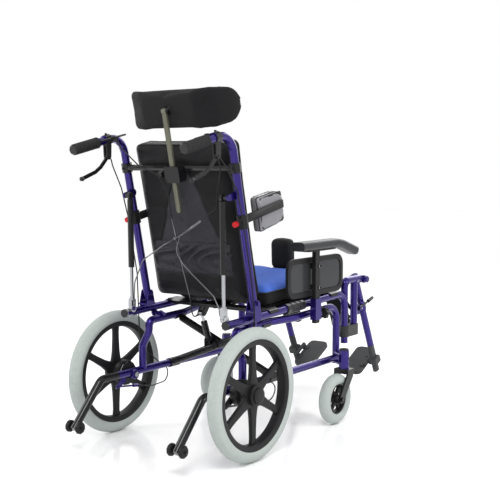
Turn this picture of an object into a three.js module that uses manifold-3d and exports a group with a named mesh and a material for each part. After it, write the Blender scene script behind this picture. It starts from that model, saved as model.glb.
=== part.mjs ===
// Tilt in space wheelchair: a seat that tilts on a folding base, with a reclining back,
// swing-away elevating legrests, height-adjustable armrests and a headrest.
// Lengths are millimetres and +Z is up. The chair faces -Y, so its left side is +X.
// In the size groups y = 0 is the rear axle, and the floor is z = 0. The finished group is
// moved along Y at the end, so that the middle of its bounding box lies on the origin.

import * as THREE from 'three';
import { mergeVertices } from 'three/addons/utils/BufferGeometryUtils.js';
import Module from 'manifold-3d';

const wasm = await Module();
wasm.setup();

// Sizes that every sub-assembly shares
const clearance = 0.3; // between two pieces that touch
const overrun = 5; // how far a cutter passes the face that it cuts
const weld = 2; // how far a welded piece reaches into the piece that carries it
const tubeRadius = 12.5;
const tubeWall = 2.3;
const bolt = { radius: 4, headRadius: 7, headHeight: 4.5 };

const wheel = {
  radius: 200, width: 44, planeX: 279,
  wellRadius: 160, beadRadius: 167, rimInnerRadius: 147, rimHalfWidth: 17, rimLip: 4,
  discHalf: 6, spokeWidth: 20, spokeRootWidth: 26, hubRadius: 32, hubOuter: 20,
  capRadius: 25, capReach: 30, drumRadius: 40, drumInner: 229, drumWidth: 23,
  axleRadius: 6, axleEndGap: 4,
};

const base = {
  railX: 205, railAboveAxle: 6, railRearY: 70, socketDepth: 38,
  legY: -590, legFootZ: 188, legBend: 45,
  postY: -50, postBendZ: 285, postTopZ: 335, hoopRearX: 176, hoopRearZ: 370, postBend: 22,
  jogBend: 30, flareRearY: -225, flareFrontY: -330, flareBend: 60, hoopFrontZ: 388.5,
  sleeveRadius: 16, sleeveInnerX: 188, sleeveOuterX: 221.7,
};

const tilt = {
  pivotY: -108, pivotZ: 386, lugRadius: 11, lugThickness: 6, bushRadius: 8,
  boltInnerX: 166, seatLugX: 205,
};

const caster = {
  radius: 85, width: 40, headX: 255, headY: -562, trail: 58,
  headRadius: 18, headBottomZ: 180, headTopZ: 242, headCap: 5, headWall: 8,
  stemDepth: 52, gussetThickness: 5, gussetSpread: 34,
  crownHalf: 28, crownDepth: 40, crownHeight: 16, legThickness: 6, legRootRadius: 17, legEyeRadius: 13,
  axleRadius: 4, nutReach: 6, nutRadius: 8,
  hubRadius: 50, hubDiscHalf: 5, hubCoreRadius: 15, spokeWidth: 11, hubRing: 7,
};

const brace = {
  planeY: -200, memberShift: 13, sleeveLength: 44, sleeveRadius: 16.5, saddleDrop: 16,
  boltRadius: 6, strutX: 36, lugGap: 16, lugThickness: 4, lugRadius: 10,
};

const strut = {
  bottomY: -186, bottomZ: 301, topY: -150, topZ: 395, bodyRadius: 11, bodyStart: 13, bodyEnd: 70,
  rodRadius: 5, rodFoot: 40, eyeRadius: 9.5, eyeWidth: 14, pinRadius: 4, openSlack: 1.6, boreFoot: 34,
};

const antiTip = {
  straightEndY: 140, elbowBend: 30, footY: 258, footZ: 73, plugLength: 32,
  axleY: 252, axleZ: 80, wheelRadius: 19, wheelWidth: 13, wheelSpacing: 43, axleRadius: 4,
  hubRadius: 8,
};

const brakePlate = {
  radius: 38, thickness: 6.7, armThickness: 4.5, armRootY: 26, armRootZ: 182, armRootRadius: 11,
  armTipY: 55, armTipZ: 165, armTipRadius: 7, linkRadius: 3, linkFrontY: -18, linkFrontZ: 156,
  barrelRadius: 5.5, barrelLength: 20,
};

const seatRail = {
  raise: 20.4, slope: 0.039, rearY: 31, frontY: -645, bend: 45, receiverFootZ: 250,
  bossRadius: 12.5, bossTopZ: 440, pinRadius: 6, pinDepth: 22,
  capLength: 5, capRadius: 14,
  hingeInnerX: 201, hingeOuterX: 235, cheek: 3, hingeHalfLength: 22, hingeTop: 11,
  socketWall: 3.5, socketTopZ: 438, socketFootZ: 368, strapLength: 26, strapHeight: 12,
  sleeveRearY: -276, sleeveFrontY: -380, sleeveRadius: 16, ribHeight: 1.6, ribCount: 4,
  strutPlateInnerX: 194, strutPlateThickness: 5, strutPlateRadius: 13,
};

const pan = {
  halfWidth: 176, thickness: 10, raise: 9, rearY: -146, frontY: -630, cornerRadius: 24,
  earWidth: 26, earLength: 46, earY: [-200, -560], earCup: 3.2,
  windowWidth: 96, windowLength: 150, windowRadius: 30, windowY: [-262, -452], windowX: 86,
  guideHalf: 21, guideWall: 4, guideHeight: 9, guideLip: 5, guideRearY: -528,
  ribDrop: 7, ribWidth: 8,
};

const cushion = {
  halfWidth: 199, rearY: -184, frontY: -650, height: 62, crown: 13, edge: 26, pull: 5,
  frontDrop: 26, notchWidth: 96, notchRearY: -525, notchRadius: 26,
};

const pommel = {
  y: -565, width: 80, depth: 60, footZ: 505, topZ: 617, edge: 22,
  stemWidth: 28, stemThickness: 8, runnerHalf: 19, runnerThickness: 5, runnerRearY: -540,
  runnerFrontY: -612, capThickness: 6,
};

const armrest = {
  postX: 242, postWidth: 14, postDepth: 25, postFootZ: 357, postFit: 0.5,
  padX: 245, padWidth: 50, padThickness: 29, padRearY: -290, padBendY: -526, padTipY: -629,
  padTipZ: 581, padTopZ: 629, padEdge: 11,
  plateThickness: 4, plateWidth: 34, plateRearY: -330, plateFrontY: -500,
  panelX: 222, panelThickness: 10, panelRearY: -261, panelFrontY: -597, panelFootZ: 445,
  panelTopZ: 573, panelCorner: 38, panelRecess: 3, recessMargin: 16, recessCorner: 26,
  panelBossRadius: 9, panelBossZ: [474, 544],
  knobZ: 384, knobRadius: 20, knobCore: 15, knobRearY: -445, knobWidth: 16, knobLobes: 6,
  knobShank: 3.5, bossRadius: 9, bossReach: 12,
};

const hanger = {
  pivotY: -645, topZ: 469, collarFootZ: 440.3, topBend: 24, kneeY: -765, kneeZ: 465,
  frontY: -751, dropY: -710, blockTopZ: 311, blockFootZ: 272, blockFrontY: -719, blockHalf: 15,
  ringRadius: 18, cheekThickness: 7, eyeRadius: 14, pinRadius: 5.5, pinInnerX: 158,
  knobRadius: 12, knobLength: 14, plateX: 195, plateThickness: 4, plateTopZ: 372, plateFootZ: 336,
  leverY: -755, leverZ: 358, spigotRadius: 5.5, spigotLength: 20,
};

const leg = {
  x: 178, angle: 24.1, length: 285, headReach: 15, boreRadius: 10.6, boreDepth: 150,
  sectorInner: 104, sectorOuter: 121, toothDepth: 3, sectorX: 187, sectorThickness: 3,
  sectorFrontAngle: 6, sectorRearAngle: 74, teeth: 18,
  armAt: 119, armBend: 14, armRadius: 6, armCollar: 22,
  barLength: 114, barDepth: 28, barWidth: 20, barRodLength: 110,
  hingeAt: 352, hingeOuterX: 196, hingeInnerX: 163, hingeHalfLength: 18, hingeHalfHeight: 14,
  hingeCorner: 5, pinX: 157, pinRadius: 3.5, knuckleRadius: 7.5,
};

const footplate = {
  pitch: 27.9, innerX: 68, outerX: 149, rearReach: 72, frontReach: 76, thickness: 5, drop: 8,
  skirt: 15, wall: 3, corner: 16, rib: 3, ribCount: 4, knuckleLength: 20, armHeight: 8,
};

const calfPad = {
  x: 108, back: 53, width: 84, height: 128, thickness: 30, crown: 6, edge: 12, pull: 3,
};

const elevationLever = {
  hubRadius: 9, thickness: 5, innerX: 200, tipY: -849, tipZ: 388, rodRadius: 3.5, gripRadius: 7,
  gripLength: 34,
};

const back = {
  pivotY: -88, pivotZ: 455, caneX: 218, angle: 12.2, footDrop: 22, cornerU: 525, cornerBend: 55,
  droop: 13.2, handleLength: 215,
  barU: 421, barOffset: 2.3, barRadius: 10, clampRadius: 17, clampHeight: 30,
  strutLugY: 22, strutLugZ: 778, strutLugRadius: 9, strutLugThickness: 5,
};

const backCushion = {
  halfWidth: 196, footU: -16, topU: 502, front: -87, rear: -8, crown: 9, pull: 6, edge: 26,
  pocketTopU: 330, pocketDepth: 6, pocketHalf: 160,
};

const grip = { length: 104, radius: 16, rings: 3, groove: 1.2, endCap: 4 };

const lever = {
  clampAt: 70, clampLength: 24, clampRadius: 17, cheekThickness: 4, cheekGap: 8, cheekRadius: 11,
  pivotAt: 78, pivotDrop: 53, eyeRadius: 9, bladeThickness: 6, bladeDepth: 12,
  kneeAt: 126, kneeDrop: 86, tipAt: 200, tipDrop: 96, ballRadius: 8, pinRadius: 3.5, bend: 60,
  releaseX: 186, releaseAt: 72, releaseFront: 22, releaseRear: 117,
  releaseThickness: 4, releaseHalf: 9, releaseTip: 6, postRadius: 4, postHead: 7, postHeadHeight: 3,
  padHalf: 8, padThickness: 9,
};

const headrest = {
  blockHalf: 29, blockHeight: 50, blockU: 406, blockFront: 6, blockRear: 38,
  stemWidth: 16, stemThickness: 8, stemOffset: 28, stemFootU: 286, stemTopU: 608,
  screwRadius: 3.5, knobRadius: 11, knobLength: 14,
  padHalf: 196, padFootU: 531, padTopU: 668, padFront: -30, padRear: 10, wing: 92, wingWidth: 70,
  padEdge: 13, crown: 5, plateHalf: 38, plateHeight: 60, plateThickness: 5, earHalf: 12,
  hingeRadius: 2.5, hingeEye: 7, hingeU: 600,
};

const lateral = {
  ringU: 258, ringHeight: 42, armX: 211, armThickness: 4, armHeight: 26, armFront: -226,
  padInnerX: 172, padOuterX: 205, padRear: -98, padFront: -246, padFootU: 190, padTopU: 310,
  padEdge: 12, crown: 4, pull: 3, bossRadius: 12, screwReach: 12, screwRadius: 3,
  knobRadius: 9, knobLength: 12, bushWall: 0.7,
};

const recline = {
  x: 186, bottomY: 17, bottomZ: 417, rodRadius: 5.5, rodEnd: 218,
  bodyRadius: 9.5, bodyStart: 133, bodyEnd: 350, eyeRadius: 12, eyeWidth: 8, pinRadius: 3.5,
  openSlack: 4, boreEnd: 288, headRadius: 12, headLength: 30, headWidth: 14,
  collarRadius: 11, collarLength: 7,
};

const cable = { radius: 2, sides: 8, ferruleRadius: 3.6, ferruleLength: 16, tieRadius: 5, adjusterRadius: 4.5, bend: 24 };

const sides = { tube: 8, bush: 12, thin: 6, fine: 6, wheel: 28, caster: 20, small: 10, fillet: 1, bend: 30 };
const mergeTolerance = 1e-4;

// Points, turns and solids

const at = (x, y, z) => new THREE.Vector3(x, y, z);
const toRadians = THREE.MathUtils.degToRad;

/** The bore round a faceted bar whose flats line up with the bore's. */
const snug = (radius, count) => radius + clearance / Math.cos(Math.PI / count);

/** A radius whose flats clear a round of the given radius, on a polygon with that many sides. */
const around = (radius, count) => (radius + clearance) / Math.cos(Math.PI / count);

/** Turns any closed geometry into a solid that can be joined and cut, with its faces pointing out. */
function toSolid(geometry, matrix = new THREE.Matrix4()) {
  const bare = geometry.clone();
  bare.deleteAttribute('normal');
  bare.deleteAttribute('uv');
  bare.applyMatrix4(matrix);
  const merged = mergeVertices(bare, mergeTolerance);
  const { array: places } = merged.attributes.position;
  const corners = [];
  let volume = 0;
  for (let i = 0; i < merged.index.count; i += 3) {
    const [a, b, c] = [0, 1, 2].map((step) => merged.index.getX(i + step));
    if (a === b || b === c || c === a) continue;
    const [p, q, r] = [a, b, c].map((n) => new THREE.Vector3().fromArray(places, n * 3));
    volume += p.dot(q.cross(r));
    corners.push(a, b, c);
  }
  if (volume < 0) corners.reverse();
  return new wasm.Manifold(new wasm.Mesh({
    numProp: 3,
    vertProperties: new Float32Array(places),
    triVerts: new Uint32Array(corners),
  }));
}

/** The geometry of a solid, mirrored across the middle plane when asked. */
function toGeometry(solid, mirrored = false) {
  const mesh = solid.getMesh();
  const places = Float32Array.from(mesh.vertProperties);
  const corners = Array.from(mesh.triVerts);
  if (mirrored) {
    for (let i = 0; i < places.length; i += 3) places[i] = -places[i];
    corners.reverse();
  }
  const geometry = new THREE.BufferGeometry();
  geometry.setAttribute('position', new THREE.BufferAttribute(places, 3));
  geometry.setIndex(corners);
  geometry.computeVertexNormals();
  return geometry;
}

const join = (...solids) => solids.flat().reduce((whole, piece) => whole.add(piece));
const cut = (solid, ...cutters) => cutters.flat().reduce((rest, cutter) => rest.subtract(cutter), solid);
const moved = (solid, matrix) => toSolid(toGeometry(solid), matrix);
const mirrorPair = (solid) => join(solid, toSolid(toGeometry(solid, true)));

/** A block between two opposite corners. */
function block(x0, x1, y0, y1, z0, z1) {
  const geometry = new THREE.BoxGeometry(Math.abs(x1 - x0), Math.abs(y1 - y0), Math.abs(z1 - z0));
  return toSolid(geometry, new THREE.Matrix4().makeTranslation((x0 + x1) / 2, (y0 + y1) / 2, (z0 + z1) / 2));
}

/** A matrix that stands a piece made along +Y at a point, along a direction. */
function aim(origin, direction) {
  const turn = new THREE.Quaternion().setFromUnitVectors(at(0, 1, 0), direction.clone().normalize());
  return new THREE.Matrix4().compose(origin, turn, at(1, 1, 1));
}

/** A round bar from one point to another, tapered when a second radius is given. */
function rod(from, to, radius, count = sides.thin, endRadius = radius) {
  const span = to.clone().sub(from);
  const middle = from.clone().add(to).multiplyScalar(1 / 2);
  return toSolid(new THREE.CylinderGeometry(endRadius, radius, span.length(), count), aim(middle, span));
}

/** A turned piece: pairs of radius and height along a direction from an origin. */
function turned(profile, origin, direction, count = sides.small) {
  const points = profile.map(([radius, height]) => new THREE.Vector2(radius, height));
  return toSolid(new THREE.LatheGeometry(points, count), aim(origin, direction));
}

/** A turned ring, whose profile closes on itself. */
const ring = (profile, origin, direction, count) => turned([...profile, profile[0]], origin, direction, count);

/** A collar round a direction, with a bore. */
function collar(origin, direction, bore, radius, height, count = sides.tube) {
  const half = height / 2;
  return ring([[bore, -half], [radius, -half], [radius, half], [bore, half]], origin, direction, count);
}

/** An outline extruded from the plane of two axes along the third, starting at a height. */
function plate(shape, plane, start, thickness, segments = sides.fillet) {
  const geometry = new THREE.ExtrudeGeometry(shape, {
    depth: thickness, bevelEnabled: false, curveSegments: segments, steps: 1,
  });
  const axes = {
    yz: [at(0, 1, 0), at(0, 0, 1), at(1, 0, 0)],
    xz: [at(1, 0, 0), at(0, 0, 1), at(0, -1, 0)],
    xy: [at(1, 0, 0), at(0, 1, 0), at(0, 0, 1)],
  }[plane];
  const matrix = new THREE.Matrix4().makeBasis(...axes);
  const along = axes[2].clone().multiplyScalar(plane === 'xz' ? -start - thickness : start);
  return toSolid(geometry, matrix.setPosition(along));
}

/** A closed outline of corners [u, v, radius], each rounded by an arc. */
function outline(corners, target = new THREE.Shape()) {
  corners.forEach(([u, v, radius = 0], i) => {
    const before = corners[(i + corners.length - 1) % corners.length];
    const after = corners[(i + 1) % corners.length];
    const corner = new THREE.Vector2(u, v);
    const back1 = new THREE.Vector2(before[0], before[1]).sub(corner).normalize();
    const next1 = new THREE.Vector2(after[0], after[1]).sub(corner).normalize();
    const half = Math.acos(THREE.MathUtils.clamp(back1.dot(next1), -1, 1)) / 2;
    if (radius === 0) {
      if (i === 0) target.moveTo(u, v);
      else target.lineTo(u, v);
      return;
    }
    const reach = radius / Math.tan(half);
    const start = corner.clone().addScaledVector(back1, reach);
    const end = corner.clone().addScaledVector(next1, reach);
    const centre = corner.clone().addScaledVector(back1.clone().add(next1).normalize(), radius / Math.sin(half));
    if (i === 0) target.moveTo(start.x, start.y);
    else target.lineTo(start.x, start.y);
    const clockwise = back1.cross(next1) > 0;
    target.absarc(
      centre.x, centre.y, radius,
      Math.atan2(start.y - centre.y, start.x - centre.x), Math.atan2(end.y - centre.y, end.x - centre.x), clockwise,
    );
  });
  return target;
}

/** A rounded rectangle outline between two opposite corners. */
function rectangle(u0, u1, v0, v1, radius = 0, target = new THREE.Shape()) {
  return outline([[u0, v0, radius], [u1, v0, radius], [u1, v1, radius], [u0, v1, radius]], target);
}

/** The outline of a belt round two circles [u, v, radius]. */
function belt([u0, v0, r0], [u1, v1, r1]) {
  const shape = new THREE.Shape();
  const line = Math.atan2(v1 - v0, u1 - u0);
  const spread = Math.acos((r0 - r1) / Math.hypot(u1 - u0, v1 - v0));
  shape.absarc(u0, v0, r0, line + spread, line - spread + 2 * Math.PI, false);
  shape.absarc(u1, v1, r1, line - spread, line + spread, false);
  return shape;
}

const circle = (u, v, radius, target = new THREE.Shape()) => target.absarc(u, v, radius, 0, 2 * Math.PI, false);

/** A route of straight runs whose corners are bent to a radius, as stations for an extruded tube. */
class BentRoute extends THREE.Curve {
  constructor(corners) {
    super();
    this.stations = [];
    corners.forEach(([point, radius = 0], i) => {
      const before = corners[i - 1]?.[0];
      const after = corners[i + 1]?.[0];
      if (!before || !after || radius === 0) {
        const ahead = (after ?? point).clone().sub(after ? point : before).normalize();
        this.stations.push({ point, tangent: ahead });
        return;
      }
      this.bend(before, point, after, radius);
    });
  }

  bend(before, corner, after, radius) {
    const arriving = corner.clone().sub(before).normalize();
    const leaving = after.clone().sub(corner).normalize();
    const turn = arriving.angleTo(leaving);
    const axis = arriving.clone().cross(leaving).normalize();
    const start = corner.clone().addScaledVector(arriving, -radius * Math.tan(turn / 2));
    const inward = axis.clone().cross(arriving);
    const centre = start.clone().addScaledVector(inward, radius);
    const steps = Math.max(1, Math.round(turn / toRadians(sides.bend)));
    for (let i = 0; i <= steps; i++) {
      const angle = (turn * i) / steps;
      const point = start.clone().sub(centre).applyAxisAngle(axis, angle).add(centre);
      this.stations.push({ point, tangent: arriving.clone().applyAxisAngle(axis, angle) });
    }
  }

  station(share) {
    return this.stations[Math.round(share * (this.stations.length - 1))];
  }

  getPointAt(share) {
    return this.station(share).point.clone();
  }

  getTangentAt(share) {
    return this.station(share).tangent.clone();
  }
}

/** A section pushed along a bent route. */
function swept(section, corners, segments = sides.tube / 2) {
  const route = new BentRoute(corners);
  return toSolid(new THREE.ExtrudeGeometry(section, {
    extrudePath: route, steps: route.stations.length - 1, curveSegments: segments,
  }));
}

const tube = (corners, radius = tubeRadius, count = sides.tube) => swept(circle(0, 0, radius), corners, count / 2);

/**
 * A padded block. Its edges are rounded, its middle is crowned along +Z and its sides are drawn in
 * between the top and bottom seams. The stations crowd towards the edges, where the rounding is.
 */
function padded({ width, depth, height, edge, crown, pull = 0, cells = [8, 8, 4], form = (p) => p }) {
  const geometry = new THREE.BoxGeometry(2, 2, 2, ...cells);
  const half = at(width / 2, depth / 2, height / 2);
  const places = geometry.attributes.position;
  const inner = half.clone().subScalar(edge);
  for (let i = 0; i < places.count; i++) {
    const unit = new THREE.Vector3().fromBufferAttribute(places, i);
    const crowded = at(...unit.toArray().map((share) => Math.sin((share * Math.PI) / 2)));
    const point = crowded.clone().multiply(half);
    const core = point.clone().clamp(inner.clone().negate(), inner);
    const offset = point.clone().sub(core);
    if (offset.lengthSq() > 0) point.copy(core).addScaledVector(offset.normalize(), edge);
    const openness = (1 - crowded.x ** 2) * (1 - crowded.y ** 2);
    if (crowded.z > 0) point.z += crown * openness * crowded.z;
    const waist = pull * (1 - crowded.z ** 2);
    point.x -= Math.sign(crowded.x) * waist * crowded.x ** 2 * (1 - crowded.y ** 2);
    point.y -= Math.sign(crowded.y) * waist * crowded.y ** 2 * (1 - crowded.x ** 2);
    places.setXYZ(i, ...form(point, crowded).toArray());
  }
  return toSolid(geometry);
}

// Finishes

const violet = { color: 0x3b3483, roughness: 0.3, metalness: 0.6 };
const blackPaint = { color: 0x17171a, roughness: 0.4, metalness: 0.3 };
const blackPlastic = { color: 0x1c1c1f, roughness: 0.55, metalness: 0 };
const greyTyre = { color: 0xb9bdb6, roughness: 0.85, metalness: 0 };
const silver = { color: 0xc9ccd0, roughness: 0.3, metalness: 0.9 };
const nylon = { color: 0x18191c, roughness: 0.9, metalness: 0 };
const seatFabric = { color: 0x6ea6cf, roughness: 0.9, metalness: 0 };
const padSkin = { color: 0x3a3b3e, roughness: 0.6, metalness: 0 };
const greyPlastic = { color: 0x3f4145, roughness: 0.6, metalness: 0 };
const olive = { color: 0x8b8b7d, roughness: 0.5, metalness: 0.4 };
const greyMetal = { color: 0x8d9096, roughness: 0.4, metalness: 0.7 };

/** Adds one named piece to a group. */
function addPiece(parent, name, solid, finish, mirrored = false) {
  const mesh = new THREE.Mesh(toGeometry(solid, mirrored), new THREE.MeshStandardMaterial(finish));
  mesh.name = name;
  parent.add(mesh);
  return mesh;
}

/** Adds a left piece and its mirror image on the right, each at its place. */
function addPair(parent, name, solid, finish, x = 0, y = 0, z = 0) {
  addPiece(parent, `left_${name}`, solid, finish).position.set(x, y, z);
  addPiece(parent, `right_${name}`, solid, finish, true).position.set(-x, y, z);
}

// Places that several sub-assemblies share

const axleZ = wheel.radius;
const railZ = axleZ + base.railAboveAxle;
const hoopSlope = (base.hoopFrontZ - base.hoopRearZ) / (base.postY - base.legY);
const hoopZ = (y) => base.hoopRearZ + hoopSlope * (base.postY - y);
const seatRailZ = (y) => tilt.pivotZ + seatRail.raise + seatRail.slope * (tilt.pivotY - y);
const tubeBore = tubeRadius - tubeWall;
const alongX = at(1, 0, 0);
const alongY = at(0, 1, 0);
const alongZ = at(0, 0, 1);

/** The radius of a round piece that fits in a polygonal bore of the given radius. */
const within = (bore, count) => bore * Math.cos(Math.PI / count) - clearance;

/** A bar along X through a point of the YZ plane. */
const crossBar = (x0, x1, y, z, radius, count = sides.thin) => rod(at(x0, y, z), at(x1, y, z), radius, count);

/** A cutter that clears a bar along X of the given radius. */
const crossHole = (x0, x1, y, z, radius) => crossBar(
  Math.min(x0, x1) - overrun, Math.max(x0, x1) + overrun, y, z, around(radius, sides.thin),
);

/** An upright plate in the YZ plane between two x values. */
const cheek = (x0, x1, shape, segments = 2) => plate(shape, 'yz', Math.min(x0, x1), Math.abs(x1 - x0), segments);

// The base: side frames, cross brace, brakes and anti-tippers

function sideFrame() {
  const hoop = tube([
    [at(base.railX, base.postY, railZ)],
    [at(base.railX, base.postY, base.postBendZ), base.jogBend],
    [at(base.hoopRearX, base.postY, base.postTopZ), base.jogBend],
    [at(base.hoopRearX, base.postY, base.hoopRearZ), base.postBend],
    [at(base.hoopRearX, base.flareRearY, hoopZ(base.flareRearY)), base.flareBend],
    [at(base.railX, base.flareFrontY, hoopZ(base.flareFrontY)), base.flareBend],
    [at(base.railX, base.legY, base.hoopFrontZ), base.legBend],
    [at(base.railX, base.legY, base.legFootZ)],
  ]);
  const rail = rod(at(base.railX, base.railRearY, railZ), at(base.railX, base.legY, railZ), tubeRadius, sides.tube);
  const socket = rod(
    at(base.railX, base.railRearY - base.socketDepth, railZ),
    at(base.railX, base.railRearY + overrun, railZ), tubeBore, sides.tube,
  );
  const axle = join(
    crossBar(base.sleeveInnerX, base.sleeveOuterX, 0, axleZ, base.sleeveRadius, sides.tube),
    crossBar(base.sleeveInnerX - bolt.headHeight, wheel.planeX + wheel.hubOuter - wheel.axleEndGap,
      0, axleZ, wheel.axleRadius),
    crossBar(base.sleeveInnerX - bolt.headHeight, base.sleeveInnerX + weld, 0, axleZ, 2 * bolt.headHeight, sides.fine),
  );
  return join(cut(join(hoop, rail), socket), axle, drumBrake(), tiltLug(), casterHead());
}

/** The lug on the hoop that carries the seat, with its spacer bush and bolt. */
function tiltLug() {
  const half = tilt.lugThickness / 2;
  const seatLugOuter = tilt.seatLugX + half;
  const lug = cheek(base.hoopRearX - half, base.hoopRearX + half, belt(
    [tilt.pivotY, tilt.pivotZ, tilt.lugRadius], [tilt.pivotY, hoopZ(tilt.pivotY), tubeRadius],
  ));
  const bush = crossBar(base.hoopRearX, tilt.seatLugX - half - clearance, tilt.pivotY, tilt.pivotZ, tilt.bushRadius);
  const shank = crossBar(tilt.boltInnerX, seatLugOuter + clearance + weld, tilt.pivotY, tilt.pivotZ, bolt.radius);
  const heads = [
    [tilt.boltInnerX - bolt.headHeight, tilt.boltInnerX],
    [seatLugOuter + clearance, seatLugOuter + clearance + bolt.headHeight],
  ].map(([from, to]) => crossBar(from, to, tilt.pivotY, tilt.pivotZ, bolt.headRadius, sides.fine));
  const nut = crossBar(tilt.boltInnerX, base.hoopRearX, tilt.pivotY, tilt.pivotZ, bolt.headRadius, sides.fine);
  return join(lug, bush, shank, heads, nut);
}

/** The upright bearing of the caster, held to the front leg by two gusset plates. */
function casterHead() {
  const { headX, headY, headRadius, headBottomZ, headTopZ, headCap, gussetThickness } = caster;
  const bore = headRadius - caster.headWall;
  const housing = rod(at(headX, headY, headBottomZ), at(headX, headY, headTopZ), headRadius, sides.tube);
  const cap = rod(
    at(headX, headY, headTopZ - weld), at(headX, headY, headTopZ + headCap), headRadius - weld, sides.tube,
  );
  const outlineOfGusset = belt([base.railX, base.legY, tubeRadius - weld], [headX, headY, headRadius]);
  const middle = (headBottomZ + headTopZ) / 2;
  const gussets = [-1, 1].map((step) => plate(
    outlineOfGusset, 'xy', middle + (step * caster.gussetSpread - gussetThickness) / 2, gussetThickness, sides.tube / 4,
  ));
  const openBore = rod(
    at(headX, headY, headBottomZ - overrun), at(headX, headY, headTopZ - headCap), bore, sides.tube,
  );
  return join(cut(join(housing, gussets), openBore), cap);
}

/** The height of a brace member's centre line at an x value, for the member that starts on that side. */
function memberZ(side, x) {
  const top = hoopZ(brace.planeY) - brace.saddleDrop;
  const travelled = (base.railX - side * x) / (base.railX + base.hoopRearX);
  return railZ + travelled * (top - railZ);
}

function crossBrace() {
  const hoopWay = at(0, -1, hoopSlope).normalize();
  const members = [1, -1].map((side) => {
    const y = brace.planeY + side * brace.memberShift;
    const foot = at(side * base.railX, y, railZ);
    const top = at(-side * base.hoopRearX, y, memberZ(side, -side * base.hoopRearX));
    const railAxis = at(side * base.railX, brace.planeY, railZ);
    const hoopAxis = at(-side * base.hoopRearX, brace.planeY, hoopZ(brace.planeY));
    const bore = around(tubeRadius, sides.tube);
    const long = brace.sleeveLength + 2 * overrun;
    const clearRail = collar(railAxis, alongY, 0, bore, long);
    const clearHoop = collar(hoopAxis, hoopWay, 0, bore, long);
    const sleeve = collar(railAxis, alongY, 0, brace.sleeveRadius, brace.sleeveLength);
    const saddle = cut(
      collar(hoopAxis, hoopWay, 0, brace.sleeveRadius, brace.sleeveLength),
      block(hoopAxis.x - long, hoopAxis.x + long, hoopAxis.y - long, hoopAxis.y + long, hoopAxis.z, hoopAxis.z + long),
    );
    return cut(join(rod(foot, top, tubeRadius, sides.tube), sleeve, saddle), clearRail, clearHoop);
  });
  const centre = memberZ(1, 0);
  const reach = brace.memberShift + tubeRadius;
  const pivot = join(
    rod(at(0, brace.planeY - reach, centre), at(0, brace.planeY + reach, centre), brace.boltRadius),
    [-1, 1].map((step) => rod(
      at(0, brace.planeY + step * (reach - weld), centre),
      at(0, brace.planeY + step * (reach + bolt.headHeight), centre), 2 * brace.boltRadius, sides.fine,
    )),
  );
  const lugs = [-1, 1].map((step) => {
    const inner = brace.strutX + (step * brace.lugGap) / 2;
    const rootZ = memberZ(1, brace.strutX);
    return cheek(inner, inner + step * brace.lugThickness, belt(
      [strut.bottomY, strut.bottomZ, brace.lugRadius],
      [brace.planeY + brace.memberShift, rootZ, brace.lugRadius],
    ));
  });
  const pinHalf = brace.lugGap / 2 + brace.lugThickness + weld;
  const pin = crossBar(brace.strutX - pinHalf, brace.strutX + pinHalf, strut.bottomY, strut.bottomZ, strut.pinRadius);
  return join(...members, pivot, lugs, pin);
}

const armInner = wheel.drumInner - clearance - brakePlate.thickness - brakePlate.armThickness;
const linkTip = at(armInner, brakePlate.armTipY, brakePlate.armTipZ);
const linkFront = at(armInner, brakePlate.linkFrontY, brakePlate.linkFrontZ);
const linkWay = linkFront.clone().sub(linkTip).normalize();
const brakeBarrel = linkFront.clone().addScaledVector(linkWay, brakePlate.barrelLength + clearance);

/** The fixed back plate of a drum brake, with its arm, link and cable barrel. */
function drumBrake() {
  const inner = wheel.drumInner - clearance - brakePlate.thickness;
  const disc = crossBar(inner, inner + brakePlate.thickness, 0, axleZ, brakePlate.radius, sides.small);
  const arm = cheek(armInner, inner + weld, belt(
    [brakePlate.armRootY, brakePlate.armRootZ, brakePlate.armRootRadius],
    [brakePlate.armTipY, brakePlate.armTipZ, brakePlate.armTipRadius],
  ));
  const barrelFoot = linkFront.clone().addScaledVector(linkWay, -weld);
  const barrelEnd = linkFront.clone().addScaledVector(linkWay, brakePlate.barrelLength);
  return join(
    disc, arm, rod(linkTip, linkFront, brakePlate.linkRadius, sides.fine),
    rod(barrelFoot, barrelEnd, brakePlate.barrelRadius),
  );
}

function antiTipTube() {
  const start = base.railRearY + clearance;
  const arm = tube([
    [at(base.railX, start, railZ)],
    [at(base.railX, antiTip.straightEndY, railZ), antiTip.elbowBend],
    [at(base.railX, antiTip.footY, antiTip.footZ)],
  ]);
  const plug = rod(
    at(base.railX, base.railRearY - antiTip.plugLength, railZ), at(base.railX, start + weld, railZ),
    within(tubeBore, sides.tube), sides.tube,
  );
  const hole = crossHole(
    base.railX - tubeRadius, base.railX + tubeRadius, antiTip.axleY, antiTip.axleZ, antiTip.axleRadius,
  );
  return cut(join(arm, plug), hole);
}

/** The twin wheels of an anti-tipper on their shared axle, round the origin. */
function antiTipWheels() {
  const half = antiTip.wheelWidth / 2;
  const edge = antiTip.axleRadius;
  const discs = [-1, 1].map((step) => {
    const middle = (step * antiTip.wheelSpacing) / 2;
    return turned([
      [0, -half], [antiTip.wheelRadius - edge, -half], [antiTip.wheelRadius, -half + edge],
      [antiTip.wheelRadius, half - edge], [antiTip.wheelRadius - edge, half], [0, half],
    ], at(middle, 0, 0), alongX, sides.small);
  });
  const reach = (antiTip.wheelSpacing + antiTip.wheelWidth) / 2 + bolt.headHeight;
  return join(discs, crossBar(-reach, reach, 0, 0, antiTip.axleRadius));
}

// Wheels

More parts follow.
